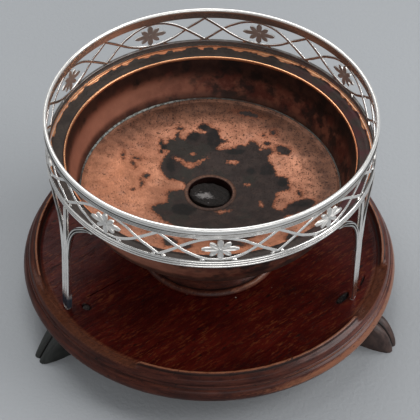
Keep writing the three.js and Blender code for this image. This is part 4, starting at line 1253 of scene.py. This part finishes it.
def rosette_tree():
    """Eight petals round a middle, each with a raised edge and a sunk vein, bent to the gallery."""
    tree = bpy.data.node_groups.new("rosette", "GeometryNodeTree")
    tree.is_modifier = True
    sizes = {"Turn": 0.0, "Back Radius": GALLERY_BORE + 0.1, "Middle Height": OPENWORK_MIDDLE,
             "Short Petal": 6.0, "Long Petal Extra": 2.4, "Petal Half Width": 1.15, "Thickness": 1.0,
             "Boss Radius": 1.1}
    tree.interface.new_socket("Geometry", in_out="OUTPUT", socket_type="NodeSocketGeometry")
    for name, value in sizes.items():
        tree.interface.new_socket(name, in_out="INPUT", socket_type="NodeSocketFloat").default_value = value
    given = tree.nodes.new("NodeGroupInput")
    size = {name: Wire(tree, given.outputs[name]) for name in sizes}

    def node(kind, settings=None, inputs=None, out=0):
        return add_node(tree, kind, settings, inputs, out)

    block = {"Size": (1.0, 2.0, 1.0), "Vertices X": 15, "Vertices Y": 11, "Vertices Z": 2}
    petal = node("GeometryNodeMeshCube", inputs=block)
    x, y, z = split(tree, node("GeometryNodeInputPosition"))
    out_share = x + 0.5
    belly = 0.5 + out_share.step(0.10, 0.58) * 0.5
    tip = 1 - (out_share.step(0.70, 1.02) ** 1.6) * 0.72
    on_top = z.step(-0.1, 0.1)
    edge = y.size().step(0.25, 0.72) * (1 - y.size().step(0.86, 1.0) * 0.7)
    end = out_share.step(0.78, 0.9) * (1 - out_share.step(0.95, 1.0) * 0.5)
    vein = edge.high(end).high(out_share.step(0.22, 0.08))
    top = 0.62 + vein * 0.38
    shaped = node("GeometryNodeSetPosition", inputs={
        "Geometry": petal, "Position": join(tree, out_share, y * belly * tip, on_top * top)})
    hollow = node("GeometryNodeStoreNamedAttribute", {"data_type": "FLOAT", "domain": "POINT"}, {
        "Geometry": shaped, "Name": "hollow", "Value": (1 - vein) * on_top * 0.42})
    spots = node("GeometryNodePoints", inputs={"Count": 8})
    index = node("GeometryNodeInputIndex")
    quarter = index * (math.pi / 2)
    heading = index * math.radians(45) - quarter.sine() * math.radians(7)
    length = size["Short Petal"] + quarter.cosine().high(0.0) * size["Long Petal Extra"]
    wide = size["Petal Half Width"] * (1 + (-quarter.cosine()).high(0.0) * 0.25)
    scale = join(tree, length, wide, size["Thickness"])
    turn = node("FunctionNodeEulerToRotation", inputs={0: join(tree, 0.0, 0.0, heading)})
    petals = node("GeometryNodeInstanceOnPoints", inputs={
        "Points": spots, "Instance": hollow, "Rotation": turn, "Scale": scale})
    boss = node("GeometryNodeMeshUVSphere", inputs={"Segments": 20, "Rings": 10, "Radius": 1.0})
    boss_scale = join(tree, size["Boss Radius"], size["Boss Radius"], size["Thickness"] * 1.25)
    dome = node("GeometryNodeTransform", inputs={"Geometry": boss, "Scale": boss_scale})
    whole = tree.nodes.new("GeometryNodeJoinGeometry")
    tree.links.new(dome.socket, whole.inputs[0])
    tree.links.new(petals.socket, whole.inputs[0])
    real = node("GeometryNodeRealizeInstances", inputs={"Geometry": Wire(tree, whole.outputs[0])})
    aside, high, thick = split(tree, node("GeometryNodeInputPosition"))
    angle = size["Turn"] * (math.pi / 180) + aside / size["Back Radius"]
    out = size["Back Radius"] + thick.high(-0.05)
    bent = node("GeometryNodeSetPosition", inputs={
        "Geometry": real,
        "Position": join(tree, out * angle.sine(), -out * angle.cosine(), size["Middle Height"] + high)})
    coated = node("GeometryNodeSetMaterial", inputs={"Geometry": bent, "Material": MATTE_SILVER})
    tree.links.new(coated.socket, tree.nodes.new("NodeGroupOutput").inputs[0])
    return tree


def rosette(tree, turn):
    """One rosette as a plain mesh in metres."""
    helper = place_object("rosette_helper", bpy.data.meshes.new("rosette_silver"))
    maker = helper.modifiers.new("maker", "NODES")
    maker.node_group = tree
    sockets = {item.name: item.identifier for item in tree.interface.items_tree if item.in_out == "INPUT"}
    maker[sockets["Turn"]] = float(turn)
    mesh = evaluated(helper)
    mesh.transform(Matrix.Translation(AXIS) @ Matrix.Scale(MM, 4))
    return mesh


# Degrees that each rosette sits off its even place, from the front one towards the right leg.
ROSETTE_OFFSETS = [0.6, 0.2, 0.0, 0.0, -0.6, 0.9, 0.0, 0.2, 0.3]
ROSETTE_TREE = rosette_tree()
for number, offset in enumerate(ROSETTE_OFFSETS, 1):
    mesh = rosette(ROSETTE_TREE, (number - 1) * PITCH + offset)
    nodes = [f"rosette_{number}"]
    stand_in(mesh, f"silver_rosette_{number}", MATTE_SILVER, "stand", nodes, sharp=50)


# Legs

def reeded_section(middle, across, outwards, width, thickness, reeds):
    """A band flat behind, with round reeds in front; one closed line of points."""
    sides = np.linspace(0.5, -0.5, reeds * 10 + 1)
    crest = np.abs(np.sin(np.pi * reeds * (sides + 0.5))) ** 0.85
    valley = 0.02 + 0.23 * smoothstep(np.abs(sides), 0.36, 0.5)
    reach = mix(valley, 0.5, crest) * thickness
    front = [middle + across * s * width + outwards * r for s, r in zip(sides, reach)]
    back = [middle + across * s * width - outwards * 0.5 * thickness for s in (-0.5, -0.17, 0.17, 0.5)]
    return back + front


def leg_stem(azimuth, foot_radius, head):
    """The reeded strap from its tang in the board up to the split, and the middle prong above it."""
    across, outwards = at(azimuth + 90, 1, 0), at(azimuth, 1, 0)
    tang_end = 20.5
    # Height, and the shares of full width and thickness there
    keys = np.array([
        (tang_end, 0.36, 0.7), (BOARD_FLOOR - 0.9, 0.36, 0.7), (BOARD_FLOOR + 0.2, 0.66, 0.7),
        (29.4, 0.94, 0.9), (33, 0.98, 1), (46, 1, 1), (60, 1, 1), (LEG_SPLIT - 2, 0.96, 1),
        (LEG_SPLIT + 2, 0.66, 0.9), (LEG_SPLIT + 8, 0.44, 0.8), (head, 0.42, 0.7),
    ])
    foot_share = 0.72 if azimuth == LEGS["right"][0] else 1.0
    sections = []
    for z in np.concatenate([[tang_end, 26.7], np.arange(27.4, head, 0.8), [head]]):
        width, thickness = np.interp(z, keys[:, 0], keys[:, 1]), np.interp(z, keys[:, 0], keys[:, 2])
        width *= mix(foot_share, 1.0, smoothstep(z, 28, 62))
        climb = np.clip((z - BOARD_FLOOR) / (head - BOARD_FLOOR), 0, 1)
        middle = at(azimuth, mix(foot_radius, LEG_HEAD_RADIUS, climb), z)
        full = LEG_WIDTH * width, LEG_THICKNESS * thickness
        sections.append(reeded_section(middle, across, outwards, *full, reeds=3))
    return loft(sections)


def leg_prong(azimuth, foot_radius, side, head):
    """A side prong leaves the stem, arches outwards and lands as a leaf under the lower rim."""
    route = np.array(flow([(2.05, LEG_SPLIT - 9), (2.3, LEG_SPLIT), (4.5, 80), (8.4, 86.6), (13.2, 90.8),
                           (17.6, head - 1.5), (21.4, head - 0.6)], 0.5))
    tangents = np.gradient(route, axis=0)
    tangents /= np.linalg.norm(tangents, axis=1)[:, None]
    sections = []
    for i, ((aside, z), (run, rise)) in enumerate(zip(route, tangents)):
        share = i / (len(route) - 1)
        climb = np.clip((z - BOARD_FLOOR) / (head - BOARD_FLOOR), 0, 1)
        radius = mix(foot_radius, LEG_HEAD_RADIUS, climb)
        here = azimuth + side * math.degrees(aside / radius)
        across = at(here + 90, 1, 0) * rise * side - np.array([0, 0, 1.0]) * run
        leaf_tip = smoothstep(share, 0.8, 1.02) ** 1.3
        width = mix(2.5, 0.7, leaf_tip) * mix(0.8, 1.0, smoothstep(share, 0, 0.25))
        thick = mix(mix(1.75, 2.3, smoothstep(share, 0, 0.2)), 1.5, smoothstep(share, 0.3, 0.6))
        section = reeded_section(at(here, radius, z), across, at(here, 1, 0), width, thick, reeds=2)
        sections.append(section if side > 0 else section[::-1])
    return loft(sections)


def leg(azimuth, foot_radius):
    """Stem and prongs in one mesh: tarnished black between the reeds, with a painted highlight at the foot
    and a painted grey-blue reflection low on the left one.
    """
    head = LOWER_RIM_LOW - 0.05
    stem = leg_stem(azimuth, foot_radius, head)
    prongs = [leg_prong(azimuth, foot_radius, way, head) for way in (-1, 1)]
    mesh = fused("leg_silver", [stem, *prongs])
    places = np.empty(len(mesh.vertices) * 3)
    mesh.vertices.foreach_get("co", places)
    _, radius, height = as_grid((places.reshape(-1, 3) - AXIS) / MM)
    climb = np.clip((height - BOARD_FLOOR) / (head - BOARD_FLOOR), 0, 1)
    proud = (radius - mix(foot_radius, LEG_HEAD_RADIUS, climb)) / LEG_THICKNESS
    hollow = (1 - smoothstep(proud, 0.16, 0.44)) * (proud > -0.1) * 0.85
    on_left = float(azimuth == LEGS["left"][0])
    # Painted reflection: a dark grey-blue patch low on the left leg.
    slate_reflection = on_left * (1 - smoothstep(height, 35.0, 39.5)) * smoothstep(height, 28.4, 29.4)
    # Painted highlight: the foot is lightened near white.
    rubbed_and_highlit = 1 - smoothstep(height, 28.2, 28.9)
    set_marks(mesh, {"hollow": hollow, "slate_reflection": slate_reflection, "rubbed_and_highlit": rubbed_and_highlit})
    return mesh


for side, (azimuth, foot_radius) in LEGS.items():
    stand_in(leg(azimuth, foot_radius), f"reeded_leg_{side}", SILVER, "stand", [f"leg_{side}"])


# Floor, light and camera

def stage():
    """A plain pale floor, 6 metres square, with the faint tooth of paper."""
    paint = bpy.data.materials.new("pale_floor")
    paint.use_nodes = True
    shader = paint.node_tree.nodes["Principled BSDF"]
    shader.inputs["Base Color"].default_value = tint((174, 177, 180))
    shader.inputs["Roughness"].default_value = 0.9
    shader.inputs["Specular IOR Level"].default_value = 0.1
    tree = paint.node_tree
    place = add_node(tree, "ShaderNodeTexCoord", out=3)
    paper = add_node(tree, "ShaderNodeTexNoise", inputs={"Vector": place, "Scale": 450.0, "Detail": 2.0})
    tooth = {"Strength": 1.0, "Distance": 0.00025, "Height": paper}
    plug(tree, add_node(tree, "ShaderNodeBump", inputs=tooth), shader.inputs["Normal"])
    half = 3.0
    corners = [(-half, -half, 0), (half, -half, 0), (half, half, 0), (-half, half, 0)]
    mesh = bpy.data.meshes.new("floor")
    mesh.from_pydata(corners, [], [(0, 1, 2, 3)])
    mesh.materials.append(paint)
    place_object("floor", mesh)


def softbox(name, azimuth, elevation, distance, width, height, power):
    """A soft lamp that looks at the pan from an azimuth and an elevation; metres and watts."""
    data = bpy.data.lights.new(name, "AREA")
    data.shape = "RECTANGLE"
    data.size, data.size_y = width, height
    data.energy = power
    flat = distance * math.cos(math.radians(elevation))
    place = Vector(at(azimuth, flat, distance * math.sin(math.radians(elevation))))
    lamp = place_object(name, data)
    lamp.matrix_world = Matrix.Translation(place) @ place.to_track_quat("Z", "Y").to_matrix().to_4x4()


def world(strength):
    """Even, faintly blue light from all round."""
    made = bpy.data.worlds.new("studio")
    bpy.context.scene.world = made
    made.use_nodes = True
    made.node_tree.nodes["Background"].inputs["Color"].default_value = (0.92, 0.96, 1.0, 1)
    made.node_tree.nodes["Background"].inputs["Strength"].default_value = strength


def camera():
    """The camera fitted to the circles in the photo; millimetres and degrees."""
    focal_pixels, photo_width = 1610.9, 420
    azimuth, away, above_table = -3.0, 576.3, 622.5
    looks_down, roll = 44.65, 0.858
    data = bpy.data.cameras.new("camera")
    data.lens = data.sensor_width * focal_pixels / photo_width
    made = place_object("camera", data)
    place = Vector(at(azimuth, away, above_table) * MM + AXIS)
    turn = Matrix.Rotation(math.radians(azimuth), 4, "Z")
    tilt = Matrix.Rotation(math.radians(90 - looks_down), 4, "X")
    lean = Matrix.Rotation(math.radians(roll), 4, "Z")
    made.matrix_world = Matrix.Translation(place) @ turn @ tilt @ lean
    bpy.context.scene.camera = made


# Azimuth, elevation, distance, width, height and power of each lamp
LAMPS = {
    "back_lamp": (203, 66, 1.25, 0.95, 0.95, 7.6),
    "right_lamp": (82, 39, 1.25, 0.8, 0.8, 7.3),
    "front_lamp": (10, 25, 1.3, 1.2, 0.6, 4.4),
    "left_card": (-78, 24, 1.3, 1.0, 0.8, 1.4),
}
WORLD_STRENGTH = 0.24

bpy.context.scene.view_settings.view_transform = "Standard"
stage()
for name, sizes in LAMPS.items():
    softbox(name, *sizes)
world(WORLD_STRENGTH)
camera()
